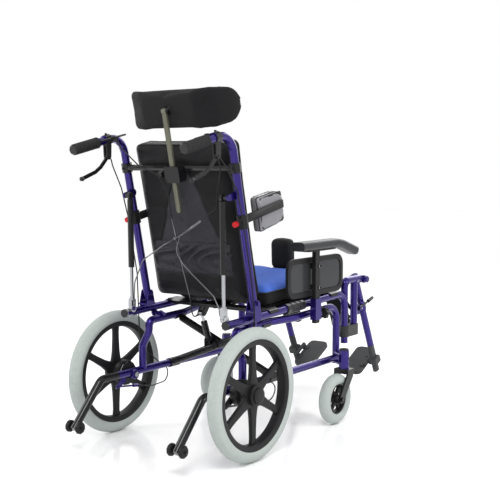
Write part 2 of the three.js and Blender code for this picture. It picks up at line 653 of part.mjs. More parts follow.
/** Tapered spokes round the X axis. */
function spokes({ count, start, inner, outer, rootWidth, tipWidth, half }) {
  const pieces = [];
  for (let i = 0; i < count; i++) {
    const angle = start + (i * 2 * Math.PI) / count;
    const place = (radius, side) => [
      radius * Math.cos(angle) - side * Math.sin(angle), radius * Math.sin(angle) + side * Math.cos(angle),
    ];
    pieces.push(plate(outline([
      place(inner, -rootWidth / 2), place(outer, -tipWidth / 2), place(outer, tipWidth / 2), place(inner, rootWidth / 2),
    ]), 'yz', -half, 2 * half));
  }
  return pieces;
}

const rimSpokeCount = 6;

/** The moulded rim with its spokes, hub and brake drum, round the origin along X. */
function rearRim() {
  const { wellRadius, beadRadius, rimInnerRadius, rimHalfWidth, rimLip, discHalf } = wheel;
  const wellHalf = rimHalfWidth / 2;
  const half = [
    [rimInnerRadius, rimHalfWidth], [beadRadius, rimHalfWidth], [beadRadius, rimHalfWidth - rimLip],
    [wellRadius, wellHalf],
  ];
  const hoop = ring(
    [...half, ...half.map(([radius, x]) => [radius, -x]).reverse()], at(0, 0, 0), alongX, sides.wheel,
  );
  const drumInner = wheel.drumInner - wheel.planeX;
  const drumOuter = drumInner + wheel.drumWidth;
  const bore = around(wheel.axleRadius, sides.small);
  const hub = turned([
    [0, wheel.capReach], [wheel.capRadius, wheel.capReach - rimLip], [wheel.hubRadius, wheel.hubOuter - rimLip],
    [wheel.hubRadius, drumOuter + rimLip], [wheel.drumRadius, drumOuter], [wheel.drumRadius, drumInner],
    [bore, drumInner], [bore, wheel.hubOuter - rimLip], [0, wheel.hubOuter - rimLip],
  ], at(0, 0, 0), alongX, sides.small);
  const arms = spokes({
    count: rimSpokeCount, start: Math.PI / rimSpokeCount, inner: bore + rimLip, outer: rimInnerRadius + weld,
    rootWidth: wheel.spokeRootWidth, tipWidth: wheel.spokeWidth, half: discHalf,
  });
  return join(hoop, hub, arms);
}

// Across half a tyre: the share of its height from bead to tread, and of its half width
const tyreShares = [[0.4, 1], [0.84, 0.76], [1, 0.25]];

/** A tyre round the origin along X, from the points of its seat to its tread. */
function tyre(seat, radius, half, count) {
  const beadRadius = seat[seat.length - 1][0];
  const side = tyreShares.map(([rise, spread]) => [beadRadius + rise * (radius - beadRadius), spread * half]);
  const profile = [...seat, ...side];
  return ring([...profile, ...profile.map(([r, x]) => [r, -x]).reverse()], at(0, 0, 0), alongX, count);
}

/** The solid tyre of a rear wheel, whose foot sits in the well of the rim. */
function rearTyre() {
  const seatHalf = wheel.rimHalfWidth / 2 - clearance;
  return tyre([
    [wheel.wellRadius + clearance, seatHalf], [wheel.beadRadius + clearance, seatHalf],
  ], wheel.radius, wheel.width / 2, sides.wheel);
}

// Casters

const forkTop = caster.headBottomZ - clearance;

/** The fork under its bearing, with its stem and the wheel's axle. The swivel axis is x = y = 0. */
function casterFork() {
  const { crownHalf, crownDepth, crownHeight, legThickness, legRootRadius, legEyeRadius, trail, radius } = caster;
  const crown = block(-crownHalf, crownHalf, -crownDepth / 2, crownDepth / 2, forkTop - crownHeight, forkTop);
  const side = belt([0, forkTop - legRootRadius, legRootRadius], [trail, radius, legEyeRadius]);
  const legs = [-crownHalf, crownHalf - legThickness].map((x) => cheek(x, x + legThickness, side, 4));
  const stem = rod(
    at(0, 0, forkTop - weld), at(0, 0, caster.headBottomZ + caster.stemDepth),
    within(caster.headRadius - caster.headWall, sides.tube), sides.tube,
  );
  const reach = crownHalf + caster.nutReach;
  const axle = crossBar(-reach + weld, reach - weld, trail, radius, caster.axleRadius);
  const nuts = [-1, 1].map((step) => crossBar(
    step * (crownHalf - weld), step * reach, trail, radius, caster.nutRadius, 6,
  ));
  return join(crown, legs, stem, axle, nuts);
}

const casterSpokeCount = 6;

/** The caster wheel with its tyre, round the origin along X. */
function casterWheel() {
  const { radius, width, hubRadius, hubRing, hubCoreRadius, hubDiscHalf, axleRadius } = caster;
  const coreHalf = caster.crownHalf - caster.legThickness - clearance;
  const band = tyre([[hubRadius - hubRing, width / 3]], radius, width / 2, sides.caster);
  const arms = spokes({
    count: casterSpokeCount, start: 0, inner: axleRadius + hubDiscHalf, outer: hubRadius - hubRing + weld,
    rootWidth: caster.spokeWidth, tipWidth: caster.spokeWidth, half: hubDiscHalf,
  });
  const core = crossBar(-coreHalf, coreHalf, 0, 0, hubCoreRadius, sides.tube);
  return cut(join(band, arms, core), crossHole(-coreHalf, coreHalf, 0, 0, axleRadius));
}

// The seat: rails, pan, cushion, pommel and the tilt strut

function seatRailFrame() {
  const { frontY, rearY, bend, receiverFootZ } = seatRail;
  const rail = tube([
    [at(base.railX, rearY, seatRailZ(rearY))],
    [at(base.railX, frontY, seatRailZ(frontY)), bend],
    [at(base.railX, frontY, receiverFootZ)],
  ]);
  const boss = rod(
    at(base.railX, frontY, seatRailZ(frontY) - bend + weld), at(base.railX, frontY, seatRail.bossTopZ),
    seatRail.bossRadius, sides.tube,
  );
  const pinWell = rod(
    at(base.railX, frontY, seatRail.bossTopZ - seatRail.pinDepth),
    at(base.railX, frontY, seatRail.bossTopZ + overrun), around(hanger.spigotRadius, sides.thin),
  );
  const cap = rod(
    at(base.railX, rearY - weld, seatRailZ(rearY)), at(base.railX, rearY + seatRail.capLength, seatRailZ(rearY)),
    seatRail.capRadius, sides.tube,
  );
  return join(
    cut(join(rail, boss), pinWell), cap, ribbedSleeve(), seatLug(), backHinge(), armrestSocket(), strutPlate(),
  );
}

/** The ribbed sleeve round the middle of the rail. */
function ribbedSleeve() {
  const { sleeveRearY, sleeveFrontY, sleeveRadius, ribHeight, ribCount } = seatRail;
  const on = (y) => at(base.railX, y, seatRailZ(y));
  const length = on(sleeveRearY).distanceTo(on(sleeveFrontY));
  const pitch = length / ribCount;
  const profile = [[0, 0]];
  for (let i = 0; i < ribCount; i++) {
    profile.push([sleeveRadius, i * pitch], [sleeveRadius + ribHeight, i * pitch + ribHeight],
      [sleeveRadius + ribHeight, (i + 3 / 4) * pitch]);
  }
  profile.push([sleeveRadius, length], [0, length]);
  return turned(profile, on(sleeveRearY), on(sleeveFrontY).sub(on(sleeveRearY)), sides.tube);
}

/** The lug under the rail that turns on the base's tilt bolt. */
function seatLug() {
  const half = tilt.lugThickness / 2;
  const lug = cheek(tilt.seatLugX - half, tilt.seatLugX + half, belt(
    [tilt.pivotY, tilt.pivotZ, tilt.lugRadius], [tilt.pivotY, seatRailZ(tilt.pivotY), tubeRadius - weld],
  ));
  return cut(lug, crossHole(tilt.seatLugX - half, tilt.seatLugX + half, tilt.pivotY, tilt.pivotZ, bolt.radius));
}

/** The bracket that holds the foot of the back cane between two cheeks. */
function backHinge() {
  const { hingeInnerX, hingeOuterX, hingeHalfLength, hingeTop } = seatRail;
  const railTop = seatRailZ(back.pivotY) + tubeRadius;
  const floor = block(
    hingeInnerX, hingeOuterX, back.pivotY - hingeHalfLength, back.pivotY + hingeHalfLength,
    railTop - weld, railTop + seatRail.cheek,
  );
  const side = belt(
    [back.pivotY, back.pivotZ, hingeTop], [back.pivotY, railTop, hingeHalfLength - seatRail.cheek],
  );
  const cheeks = [hingeInnerX, hingeOuterX - seatRail.cheek].map((x) => cheek(x, x + seatRail.cheek, side, 4));
  const shank = crossBar(hingeInnerX - weld, hingeOuterX + weld, back.pivotY, back.pivotZ, bolt.radius);
  const heads = [
    [hingeInnerX - bolt.headHeight, hingeInnerX + weld / 2], [hingeOuterX - weld / 2, hingeOuterX + bolt.headHeight],
  ].map(([from, to]) => crossBar(from, to, back.pivotY, back.pivotZ, bolt.headRadius, 6));
  return join(floor, cheeks, shank, heads);
}

const armrestY = -401;

/** The upright socket beside the rail that the armrest post slides in, with the knob's boss. */
function armrestSocket() {
  const { socketWall, socketTopZ, socketFootZ, strapLength, strapHeight } = seatRail;
  const { postX, postWidth, postDepth, postFit } = armrest;
  const boreX = postWidth / 2 + postFit;
  const boreY = postDepth / 2 + postFit;
  const front = armrestY - boreY - socketWall;
  const shell = block(
    postX - boreX - socketWall, postX + boreX + socketWall, front, armrestY + boreY + socketWall,
    socketFootZ, socketTopZ,
  );
  const strapZ = seatRailZ(armrestY);
  const strap = block(
    base.railX, postX - boreX, armrestY - strapLength / 2, armrestY + strapLength / 2,
    strapZ - strapHeight / 2, strapZ + strapHeight / 2,
  );
  const boss = rod(at(postX, front + weld, armrest.knobZ), at(postX, front - armrest.bossReach, armrest.knobZ),
    armrest.bossRadius);
  const bore = block(
    postX - boreX, postX + boreX, armrestY - boreY, armrestY + boreY, socketFootZ - overrun, socketTopZ + overrun,
  );
  const threadHole = rod(at(postX, armrestY, armrest.knobZ),
    at(postX, front - armrest.bossReach - overrun, armrest.knobZ), around(armrest.knobShank, sides.thin));
  return cut(join(shell, strap, boss), bore, threadHole);
}

/** The plate at the rail's rear end that carries the foot of the recline strut. */
function strutPlate() {
  const { strutPlateInnerX, strutPlateThickness, strutPlateRadius } = seatRail;
  const lug = cheek(strutPlateInnerX, strutPlateInnerX + strutPlateThickness, belt(
    [recline.bottomY, recline.bottomZ, recline.eyeRadius - weld],
    [recline.bottomY, seatRailZ(recline.bottomY), strutPlateRadius],
  ));
  const headInner = recline.x - recline.headWidth / 2;
  const headOuter = recline.x + recline.headWidth / 2;
  const pin = crossBar(
    headInner - clearance - weld, strutPlateInnerX + weld, recline.bottomY, recline.bottomZ, recline.pinRadius,
  );
  const spacer = crossBar(
    headOuter + clearance, strutPlateInnerX + weld, recline.bottomY, recline.bottomZ, 2 * recline.pinRadius,
  );
  const head = crossBar(
    headInner - clearance - weld, headInner - clearance, recline.bottomY, recline.bottomZ, 2 * recline.pinRadius, 6,
  );
  return join(lug, pin, spacer, head);
}

// The seat deck is a group that lies along the rails: v runs along them from the tilt pivot,
// and w is the height over the rails' centre lines.

const deckTop = pan.raise + pan.thickness;
const toDeck = (y) => y - tilt.pivotY;

function seatPan() {
  const { halfWidth, raise, thickness, cornerRadius, windowX, windowWidth, windowLength } = pan;
  const shape = rectangle(-halfWidth, halfWidth, toDeck(pan.frontY), toDeck(pan.rearY), cornerRadius);
  for (const middleY of pan.windowY) {
    for (const middleX of [-windowX, windowX]) {
      shape.holes.push(rectangle(
        middleX - windowWidth / 2, middleX + windowWidth / 2,
        toDeck(middleY) - windowLength / 2, toDeck(middleY) + windowLength / 2, pan.windowRadius, new THREE.Path(),
      ));
    }
  }
  const sheet = plate(shape, 'xy', raise, thickness, 1);
  const ears = pan.earY.flatMap((y) => [panEar(y), toSolid(toGeometry(panEar(y), true))]);
  return join(sheet, ears, panRibs(), strutLugs(), pommelGuide());
}

/** An ear of the pan, cupped over a rail. */
function panEar(y) {
  const v = toDeck(y);
  const bore = around(tubeRadius, sides.tube);
  const saddle = cut(
    collar(at(base.railX, v, 0), alongY, 0, bore + pan.earCup, pan.earLength),
    block(base.railX - 2 * bore, base.railX + 2 * bore, v - pan.earLength, v + pan.earLength, -2 * bore, pan.earCup),
  );
  const strap = block(
    pan.halfWidth - pan.earWidth, base.railX, v - pan.earLength / 2, v + pan.earLength / 2, pan.raise, deckTop,
  );
  return cut(join(saddle, strap), collar(at(base.railX, v, 0), alongY, 0, bore, pan.earLength + overrun));
}

/** Stiffening ribs under the pan, along its sides and across its middle. */
function panRibs() {
  const { halfWidth, ribDrop, ribWidth, cornerRadius, raise } = pan;
  const front = toDeck(pan.frontY) + cornerRadius;
  const rear = toDeck(pan.rearY) - cornerRadius;
  const foot = raise - ribDrop;
  const lengthways = [-1, 0, 1].map((step) => {
    const middle = step * (halfWidth - ribWidth);
    return block(middle - ribWidth / 2, middle + ribWidth / 2, front, rear, foot, raise + weld);
  });
  const middle = (toDeck(pan.windowY[0]) + toDeck(pan.windowY[1])) / 2;
  const across = block(
    -halfWidth + ribWidth, halfWidth - ribWidth, middle - ribWidth / 2, middle + ribWidth / 2, foot, raise + weld,
  );
  return join(lengthways, across);
}

/** Two cheeks and a pin under the pan's rear edge for the head of the tilt strut. */
function strutLugs() {
  const v = toDeck(strut.topY);
  const w = strut.topZ - seatRailZ(strut.topY);
  const inner = strut.eyeWidth / 2 + clearance * 2;
  const outer = inner + brace.lugThickness;
  const side = belt([v, w, strut.eyeRadius], [v - 2 * strut.eyeRadius, pan.raise, strut.eyeRadius]);
  const cheeks = [-1, 1].map((step) => cut(
    cheek(brace.strutX + step * inner, brace.strutX + step * outer, side),
    block(brace.strutX - 2 * outer, brace.strutX + 2 * outer, v - 6 * strut.eyeRadius, v + 2 * strut.eyeRadius,
      deckTop - weld, deckTop + 2 * strut.eyeRadius),
  ));
  const pin = crossBar(brace.strutX - outer - weld, brace.strutX + outer + weld, v, w, strut.pinRadius);
  return join(cheeks, pin);
}

/** The two lipped rails on the pan that the pommel's runner slides in. */
function pommelGuide() {
  const { guideHalf, guideWall, guideHeight, guideLip } = pan;
  const inner = guideHalf - guideLip;
  const lipFoot = deckTop + pommel.runnerThickness + 2 * clearance;
  const side = outline([
    [guideHalf, deckTop - weld], [guideHalf + guideWall, deckTop - weld],
    [guideHalf + guideWall, deckTop + guideHeight], [inner, deckTop + guideHeight], [inner, lipFoot],
    [guideHalf, lipFoot],
  ]);
  const front = toDeck(pan.frontY);
  const rail = plate(side, 'xz', front, toDeck(pan.guideRearY) - front);
  return mirrorPair(rail);
}

/** The seat cushion on the deck, with a notch at the front for the pommel. */
function seatCushion() {
  const { halfWidth, rearY, frontY, height, crown, edge, pull, frontDrop } = cushion;
  const middle = (toDeck(rearY) + toDeck(frontY)) / 2;
  const foot = deckTop + clearance;
  const form = (point, unit) => {
    const forward = Math.max(0, -unit.y);
    const lowered = unit.z > 0 ? frontDrop * forward ** 6 * unit.z : 0;
    return at(point.x, point.y + middle, point.z + foot + height / 2 - lowered);
  };
  const body = padded({
    width: 2 * halfWidth, depth: rearY - frontY, height, edge, crown, pull, cells: [7, 8, 3], form,
  });
  const notch = plate(rectangle(
    -cushion.notchWidth / 2, cushion.notchWidth / 2, toDeck(frontY) - cushion.notchWidth, toDeck(cushion.notchRearY),
    cushion.notchRadius,
  ), 'xy', foot - overrun, height + crown + 2 * overrun);
  return cut(body, notch);
}

/** The pommel on its stem, with the runner that slides in the pan's guide. */
function pommelPiece() {
  const { width, depth, footZ, topZ, edge, stemWidth, stemThickness, runnerHalf, runnerThickness } = pommel;
  const v = toDeck(pommel.y);
  const lower = footZ - seatRailZ(pommel.y);
  const upper = topZ - seatRailZ(pommel.y);
  const form = (point) => at(point.x, point.y + v, point.z + (lower + upper) / 2);
  const pad = padded({ width, depth, height: upper - lower, edge, crown: weld, cells: [4, 4, 4], form });
  const runnerFoot = deckTop + clearance;
  const stem = block(
    -stemWidth / 2, stemWidth / 2, v - stemThickness / 2, v + stemThickness / 2, runnerFoot, lower + edge,
  );
  const runner = plate(rectangle(
    -runnerHalf, runnerHalf, toDeck(pommel.runnerFrontY), toDeck(pommel.runnerRearY), pommel.capThickness,
  ), 'xy', runnerFoot, runnerThickness);
  return join(pad, stem, runner);
}

/** The cylinder of the tilt strut: its lower eye is at the origin and it points along +Z. */
function tiltCylinder() {
  const half = strut.eyeWidth / 2;
  const eye = crossBar(-half, half, 0, 0, strut.eyeRadius, sides.tube);
  const neck = rod(at(0, 0, 0), at(0, 0, strut.bodyStart + weld), half);
  const body = rod(at(0, 0, strut.bodyStart), at(0, 0, strut.bodyEnd), strut.bodyRadius, sides.tube);
  const bore = rod(at(0, 0, strut.boreFoot), at(0, 0, strut.bodyEnd + overrun), around(strut.rodRadius, sides.thin));
  return cut(join(eye, neck, body), crossHole(-half, half, 0, 0, strut.pinRadius), bore);
}

const strutLength = Math.hypot(strut.topY - strut.bottomY, strut.topZ - strut.bottomZ);

/** The rod of the tilt strut, with the upper eye that is open round its pin. */
function tiltRod() {
  const half = strut.eyeWidth / 2;
  const shaft = rod(at(0, 0, strut.rodFoot), at(0, 0, strutLength), strut.rodRadius);
  const eye = crossBar(-half, half, 0, strutLength, strut.eyeRadius, sides.tube);
  return cut(join(shaft, eye), crossHole(-half, half, 0, strutLength, strut.pinRadius + strut.openSlack));
}

// Armrests

/** The post with the plate that carries the pad. */
function armrestPost() {
  const { postX, postWidth, postDepth, postFootZ, plateThickness, plateWidth } = armrest;
  const plateTop = armrest.padTopZ - armrest.padThickness - clearance;
  const post = block(
    postX - postWidth / 2, postX + postWidth / 2, armrestY - postDepth / 2, armrestY + postDepth / 2,
    postFootZ, plateTop - plateThickness / 2,
  );
  const carrier = plate(rectangle(
    armrest.padX - plateWidth / 2, armrest.padX + plateWidth / 2, armrest.plateFrontY, armrest.plateRearY,
    plateWidth / 3,
  ), 'xy', plateTop - plateThickness, plateThickness);
  return join(post, carrier);
}

/** The moulded pad, level at the back and drooping at its tip. */
function armrestPad() {
  const { padX, padWidth, padThickness, padEdge, padTopZ, padTipZ } = armrest;
  const middleZ = padTopZ - padThickness / 2;
  const section = rectangle(-padThickness / 2, padThickness / 2, -padWidth / 2, padWidth / 2, padEdge);
  return swept(section, [
    [at(padX, armrest.padRearY, middleZ)],
    [at(padX, armrest.padBendY, middleZ), 2 * padWidth],
    [at(padX, armrest.padTipY, padTipZ)],
  ], 2);
}

/** The side panel, with a shallow recess on its outer face and two bosses that meet the post. */
function sidePanel() {
  const { panelX, panelThickness, panelRearY, panelFrontY, panelFootZ, panelTopZ, panelCorner } = armrest;
  const inner = panelX - panelThickness / 2;
  const outer = panelX + panelThickness / 2;
  const board = cheek(inner, outer, rectangle(panelFrontY, panelRearY, panelFootZ, panelTopZ, panelCorner), 4);
  const margin = armrest.recessMargin;
  const recess = cheek(outer - armrest.panelRecess, outer + overrun, rectangle(
    panelFrontY + margin, panelRearY - margin, panelFootZ + margin, panelTopZ - margin, armrest.recessCorner,
  ), 4);
  const postFace = armrest.postX - armrest.postWidth / 2 + weld;
  const bosses = armrest.panelBossZ.map((z) => crossBar(panelX, postFace, armrestY, z, armrest.panelBossRadius));
  return join(cut(board, recess), bosses);
}

/** The star knob with its shank, along Y from the origin towards +Y. */
function armrestKnob() {
  const { knobRadius, knobCore, knobWidth, knobLobes, knobShank, postDepth, postFit } = armrest;
  const shape = new THREE.Shape();
  const mean = (knobRadius + knobCore) / 2;
  const swing = (knobRadius - knobCore) / 2;
  const count = 6 * knobLobes;
  for (let i = 0; i < count; i++) {
    const angle = (2 * Math.PI * i) / count;
    const radius = mean + swing * Math.cos(knobLobes * angle);
    if (i === 0) shape.moveTo(radius * Math.cos(angle), radius * Math.sin(angle));
    else shape.lineTo(radius * Math.cos(angle), radius * Math.sin(angle));
  }
  const socketFront = armrestY - postDepth / 2 - postFit;
  const shank = rod(at(0, -weld, 0), at(0, socketFront - armrest.knobRearY, 0), knobShank);
  return join(plate(shape, 'xz', -knobWidth, knobWidth), shank);
}

// Legrests

/** The swing-away hanger: top tube, drop tube with its latch block, knee pin and lever plate. */
function legrestHanger() {
  const x = base.railX;
  const { pivotY, topZ, collarFootZ, topBend, frontY, dropY, kneeY, kneeZ } = hanger;
  const top = tube([
    [at(x, pivotY, collarFootZ)], [at(x, pivotY, topZ), topBend], [at(x, frontY, topZ)],
  ]);
  const drop = rod(at(x, dropY, topZ), at(x, dropY, hanger.blockFootZ + weld), tubeRadius, sides.tube);
  const spigot = rod(at(x, pivotY, collarFootZ - hanger.spigotLength), at(x, pivotY, collarFootZ + weld),
    hanger.spigotRadius);
  const ringMiddle = (hanger.blockTopZ + hanger.blockFootZ) / 2;
  const ringHeight = hanger.blockTopZ - hanger.blockFootZ;
  const bore = around(tubeRadius, sides.tube);
  const latch = cut(
    join(
      plate(rectangle(x - hanger.blockHalf, x + hanger.blockHalf, hanger.blockFrontY, pivotY, hanger.blockHalf / 4),
        'xy', hanger.blockFootZ, ringHeight),
      collar(at(x, pivotY, ringMiddle), alongZ, 0, hanger.ringRadius, ringHeight),
    ),
    collar(at(x, pivotY, ringMiddle), alongZ, 0, bore, ringHeight + overrun),
  );
  return join(top, drop, spigot, latch, kneeJoint(), leverPlate(), kneeStub(x, frontY, topZ, kneeY, kneeZ));
}

/** The web between the top tube's end and the knee's eye. */
function kneeStub(x, frontY, topZ, kneeY, kneeZ) {
  const half = tubeRadius - weld;
  return cheek(x - half, x + half, belt([frontY + tubeRadius, topZ, half], [kneeY, kneeZ, hanger.eyeRadius]), 4);
}

/** The eye at the knee with the pin that carries the leg tube, and the knob on its outer end. */
function kneeJoint() {
  const inner = leg.x + tubeRadius + clearance * 2;
  const outer = base.railX + tubeRadius;
  const { kneeY, kneeZ, eyeRadius, pinRadius, pinInnerX, knobRadius, knobLength } = hanger;
  const eye = crossBar(inner, outer, kneeY, kneeZ, eyeRadius, sides.tube);
  const pin = crossBar(pinInnerX, outer + weld, kneeY, kneeZ, pinRadius);
  const washer = crossBar(
    pinInnerX - weld, leg.x - tubeRadius - clearance, kneeY, kneeZ, 2 * pinRadius - weld, sides.tube,
  );
  const knob = turned([
    [0, 0], [knobRadius, 0], [knobRadius, knobLength - weld], [knobRadius - weld, knobLength], [0, knobLength],
  ], at(outer - weld / 2, kneeY, kneeZ), alongX, sides.tube);
  return join(eye, pin, washer, knob);
}

/** The plate beside the drop tube that the elevation lever turns on. */
function leverPlate() {
  const { plateX, plateThickness, plateTopZ, plateFootZ, leverY, leverZ } = hanger;
  const inner = plateX - plateThickness / 2;
  const outer = plateX + plateThickness / 2;
  const corner = bolt.radius;
  const sheet = cheek(inner, outer, rectangle(
    leverY - hanger.eyeRadius, hanger.dropY + corner, plateFootZ, plateTopZ, corner,
  ));
  const pinEnd = elevationLever.innerX + elevationLever.thickness + clearance;
  const pin = crossBar(plateX, pinEnd + weld, leverY, leverZ, bolt.radius);
  const washer = crossBar(outer - weld, elevationLever.innerX - clearance, leverY, leverZ, bolt.headRadius);
  const head = crossBar(pinEnd, pinEnd + bolt.headHeight, leverY, leverZ, bolt.headRadius, 6);
  return join(sheet, pin, washer, head);
}

/** The elevation lever, round its pivot at the origin. */
function elevationLeverPiece() {
  const { hubRadius, thickness, innerX, rodRadius, gripRadius, gripLength } = elevationLever;
  const x = innerX - base.railX;
  const tip = at(x + thickness / 2, elevationLever.tipY - hanger.leverY, elevationLever.tipZ - hanger.leverZ);
  const root = at(tip.x, 0, 0);
  const way = tip.clone().sub(root).normalize();
  const hub = crossBar(x, x + thickness, 0, 0, hubRadius, sides.tube);
  const shaft = rod(root.clone().addScaledVector(way, hubRadius - weld), tip, rodRadius, sides.fine);
  const handle = rod(tip.clone().addScaledVector(way, -gripLength), tip, gripRadius, sides.thin, gripRadius - weld / 2);
  return join(cut(hub, crossHole(x, x + thickness, 0, 0, bolt.radius)), shaft, handle);
}

/** The leg tube below the knee at the origin, with the toothed sector and the calf pad's arm. */
function legTube() {
  const body = rod(at(0, 0, leg.headReach), at(0, 0, -leg.length), tubeRadius, sides.tube);
  const bore = rod(at(0, 0, leg.boreDepth - leg.length), at(0, 0, -leg.length - overrun), leg.boreRadius, sides.tube);
  const knee = crossHole(-tubeRadius, tubeRadius, 0, 0, hanger.pinRadius);
  return cut(join(body, toothedSector(), calfArm()), bore, knee);
}

/** The arc with ratchet teeth on its rim, centred on the knee. */
function toothedSector() {
  const { sectorInner, sectorOuter, toothDepth, sectorX, sectorThickness, teeth } = leg;
  const start = toRadians(-leg.sectorFrontAngle);
  const end = toRadians(leg.sectorRearAngle);
  const place = (radius, angle) => [radius * Math.sin(angle), -radius * Math.cos(angle)];
  const shape = new THREE.Shape();
  shape.moveTo(...place(sectorInner, start));
  for (let i = 0; i < teeth; i++) {
    const share = i / teeth;
    const angle = start + (end - start) * share;
    shape.lineTo(...place(sectorOuter, angle));
    shape.lineTo(...place(sectorOuter - toothDepth, angle + ((end - start) / teeth) * (4 / 5)));
  }
  shape.lineTo(...place(sectorOuter, end));
  shape.lineTo(...place(sectorInner, end));
  shape.absarc(0, 0, sectorInner, end - Math.PI / 2, start - Math.PI / 2, true);
  const inner = sectorX - leg.x;
  return cheek(inner, inner + sectorThickness, shape, 6);
}

const padRearY = calfPad.back + calfPad.thickness / 2;

/** The clamp and bent arm that hold the calf pad behind the leg tube. */
function calfArm() {
  const z = -leg.armAt;
  const armY = padRearY + leg.armRadius * Math.cos(Math.PI / sides.fine) + clearance;
  const clamp = collar(at(0, 0, z), alongZ, 0, tubeRadius + 2 * weld, leg.armCollar);
  const endX = calfPad.x - leg.x - calfPad.width / 4;
  const arm = tube([
    [at(0, tubeRadius, z)], [at(0, armY, z), leg.armBend], [at(endX, armY, z)],
  ], leg.armRadius, sides.fine);
  return join(clamp, arm);
}

/** The calf pad, with its thickness along Y and its crown towards the calf. */
function calfPadPiece() {
  const { width, height, thickness, crown, edge, pull } = calfPad;
  const form = (point) => at(point.x, calfPad.back - point.z, point.y);
  return padded({ width, depth: height, height: thickness, edge, crown, pull, cells: [4, 5, 2], form });
}

const footTurn = toRadians(leg.angle - footplate.pitch);

/** The oval extension bar, its rod in the leg tube, and the hinge block for the footplate. */
function legExtension() {
  const { barDepth, barWidth, barLength, barRodLength, hingeHalfLength, hingeHalfHeight } = leg;
  const top = -leg.length - clearance;
  const bar = plate(
    rectangle(-barWidth / 2, barWidth / 2, -barDepth / 2, barDepth / 2, barWidth / 2 - clearance), 'xy',
    top - barLength, barLength, 3,
  );
  const inner = rod(at(0, 0, top - weld), at(0, 0, top + barRodLength), within(leg.boreRadius, sides.tube), sides.tube);
  const blockInner = leg.hingeInnerX - leg.x;
  const blockOuter = leg.hingeOuterX - leg.x;
  const body = cheek(blockInner, blockOuter, rectangle(
    -hingeHalfLength, hingeHalfLength, -hingeHalfHeight, hingeHalfHeight, leg.hingeCorner,
  ));
  const pinX = leg.pinX - leg.x;
  const knuckle = plate(
    belt([blockInner + weld, 0, leg.knuckleRadius], [pinX, 0, leg.knuckleRadius]), 'xz',
    -hingeHalfLength, 2 * hingeHalfLength, 4,
  );
  const pinReach = hingeHalfLength + footplate.knuckleLength + 2 * clearance;
  const pin = rod(at(pinX, -pinReach, 0), at(pinX, pinReach, 0), leg.pinRadius);
  const turn = new THREE.Matrix4().makeRotationX(footTurn).setPosition(0, 0, -leg.hingeAt);
  return join(bar, inner, moved(join(body, knuckle, pin), turn));
}

/** The moulded footplate: tread, skirt, ribs and the knuckles that turn on the hinge pin at x = 0. */
function footplatePiece() {
  const { innerX, outerX, rearReach, frontReach, thickness, drop, skirt, wall, corner, rib, ribCount } = footplate;
  const from = innerX - leg.pinX;
  const to = outerX - leg.pinX;
  const edge = rectangle(from, to, -frontReach, rearReach, corner);
  const shell = cut(
    plate(edge, 'xy', -drop - skirt, skirt),
    plate(rectangle(from + wall, to - wall, -frontReach + wall, rearReach - wall, corner - wall), 'xy',
      -drop - skirt - overrun, skirt + overrun - thickness),
  );
  const ribs = [];
  for (let i = 1; i <= ribCount; i++) {
    const y = -frontReach + (i * (frontReach + rearReach)) / (ribCount + 1);
    ribs.push(block(from + wall / 2, to - wall / 2, y - rib / 2, y + rib / 2, -drop - skirt + wall, -drop - weld));
  }
  const reach = leg.hingeHalfLength + clearance;
  const knuckles = [-1, 1].flatMap((step) => {
    const near = step * reach;
    const far = step * (reach + footplate.knuckleLength);
    const low = Math.min(near, far);
    return [
      rod(at(0, near, 0), at(0, far, 0), leg.knuckleRadius, sides.tube),
      block(to - corner, 0, low, low + footplate.knuckleLength, -drop - thickness, -drop - thickness + footplate.armHeight),
    ];
  });
  const bore = rod(at(0, -2 * reach - overrun - footplate.knuckleLength, 0),
    at(0, 2 * reach + overrun + footplate.knuckleLength, 0), around(leg.pinRadius, sides.thin));
  return cut(join(shell, ribs, knuckles), bore);
}

// The back: canes, bar, cushion, grips, levers, headrest and lateral supports.
// It is a group that leans with the canes: v runs rearwards from them and w up along them.

const handleWay = at(0, Math.cos(toRadians(back.droop)), -Math.sin(toRadians(back.droop)))
  .applyAxisAngle(alongX, toRadians(back.angle));
const onHandle = (along, x = back.caneX) => at(x, 0, back.cornerU).addScaledVector(handleWay, along);

function backCane() {
  const cane = tube([
    [at(back.caneX, 0, -back.footDrop)], [at(back.caneX, 0, back.cornerU), back.cornerBend],
    [onHandle(back.handleLength)],
  ]);
  const { lugV, lugW } = strutTop();
  const lugInner = back.caneX - tubeRadius + clearance;
  const lug = cheek(lugInner, lugInner + back.strutLugThickness, belt(
    [0, lugW, tubeRadius], [lugV, lugW, back.strutLugRadius],
  ));
  const headInner = recline.x - recline.eyeWidth / 2 - clearance;
  const pin = crossBar(headInner - weld, lugInner + weld, lugV, lugW, recline.pinRadius);
  const head = crossBar(headInner - weld, headInner, lugV, lugW, back.strutLugRadius + weld, sides.tube);
  const spacer = crossBar(recline.x + recline.eyeWidth / 2 + clearance, lugInner + weld, lugV, lugW,
    2 * recline.pinRadius);
  const bush = collar(at(back.caneX, 0, lateral.ringU), alongZ, 0, tubeRadius + lateral.bushWall, lateral.ringHeight,
    sides.bush);
  const hole = crossHole(back.caneX - tubeRadius, back.caneX + tubeRadius, 0, 0, bolt.radius);
  return cut(join(cane, lug, pin, head, spacer, bush, pushGrip(), leverClamp()), hole);
}

/** The recline strut's upper pin, in the back's own directions. */
function strutTop() {
  const place = at(0, back.strutLugY - back.pivotY, back.strutLugZ - back.pivotZ)
    .applyAxisAngle(alongX, toRadians(back.angle));
  return { lugV: place.y, lugW: place.z };
}

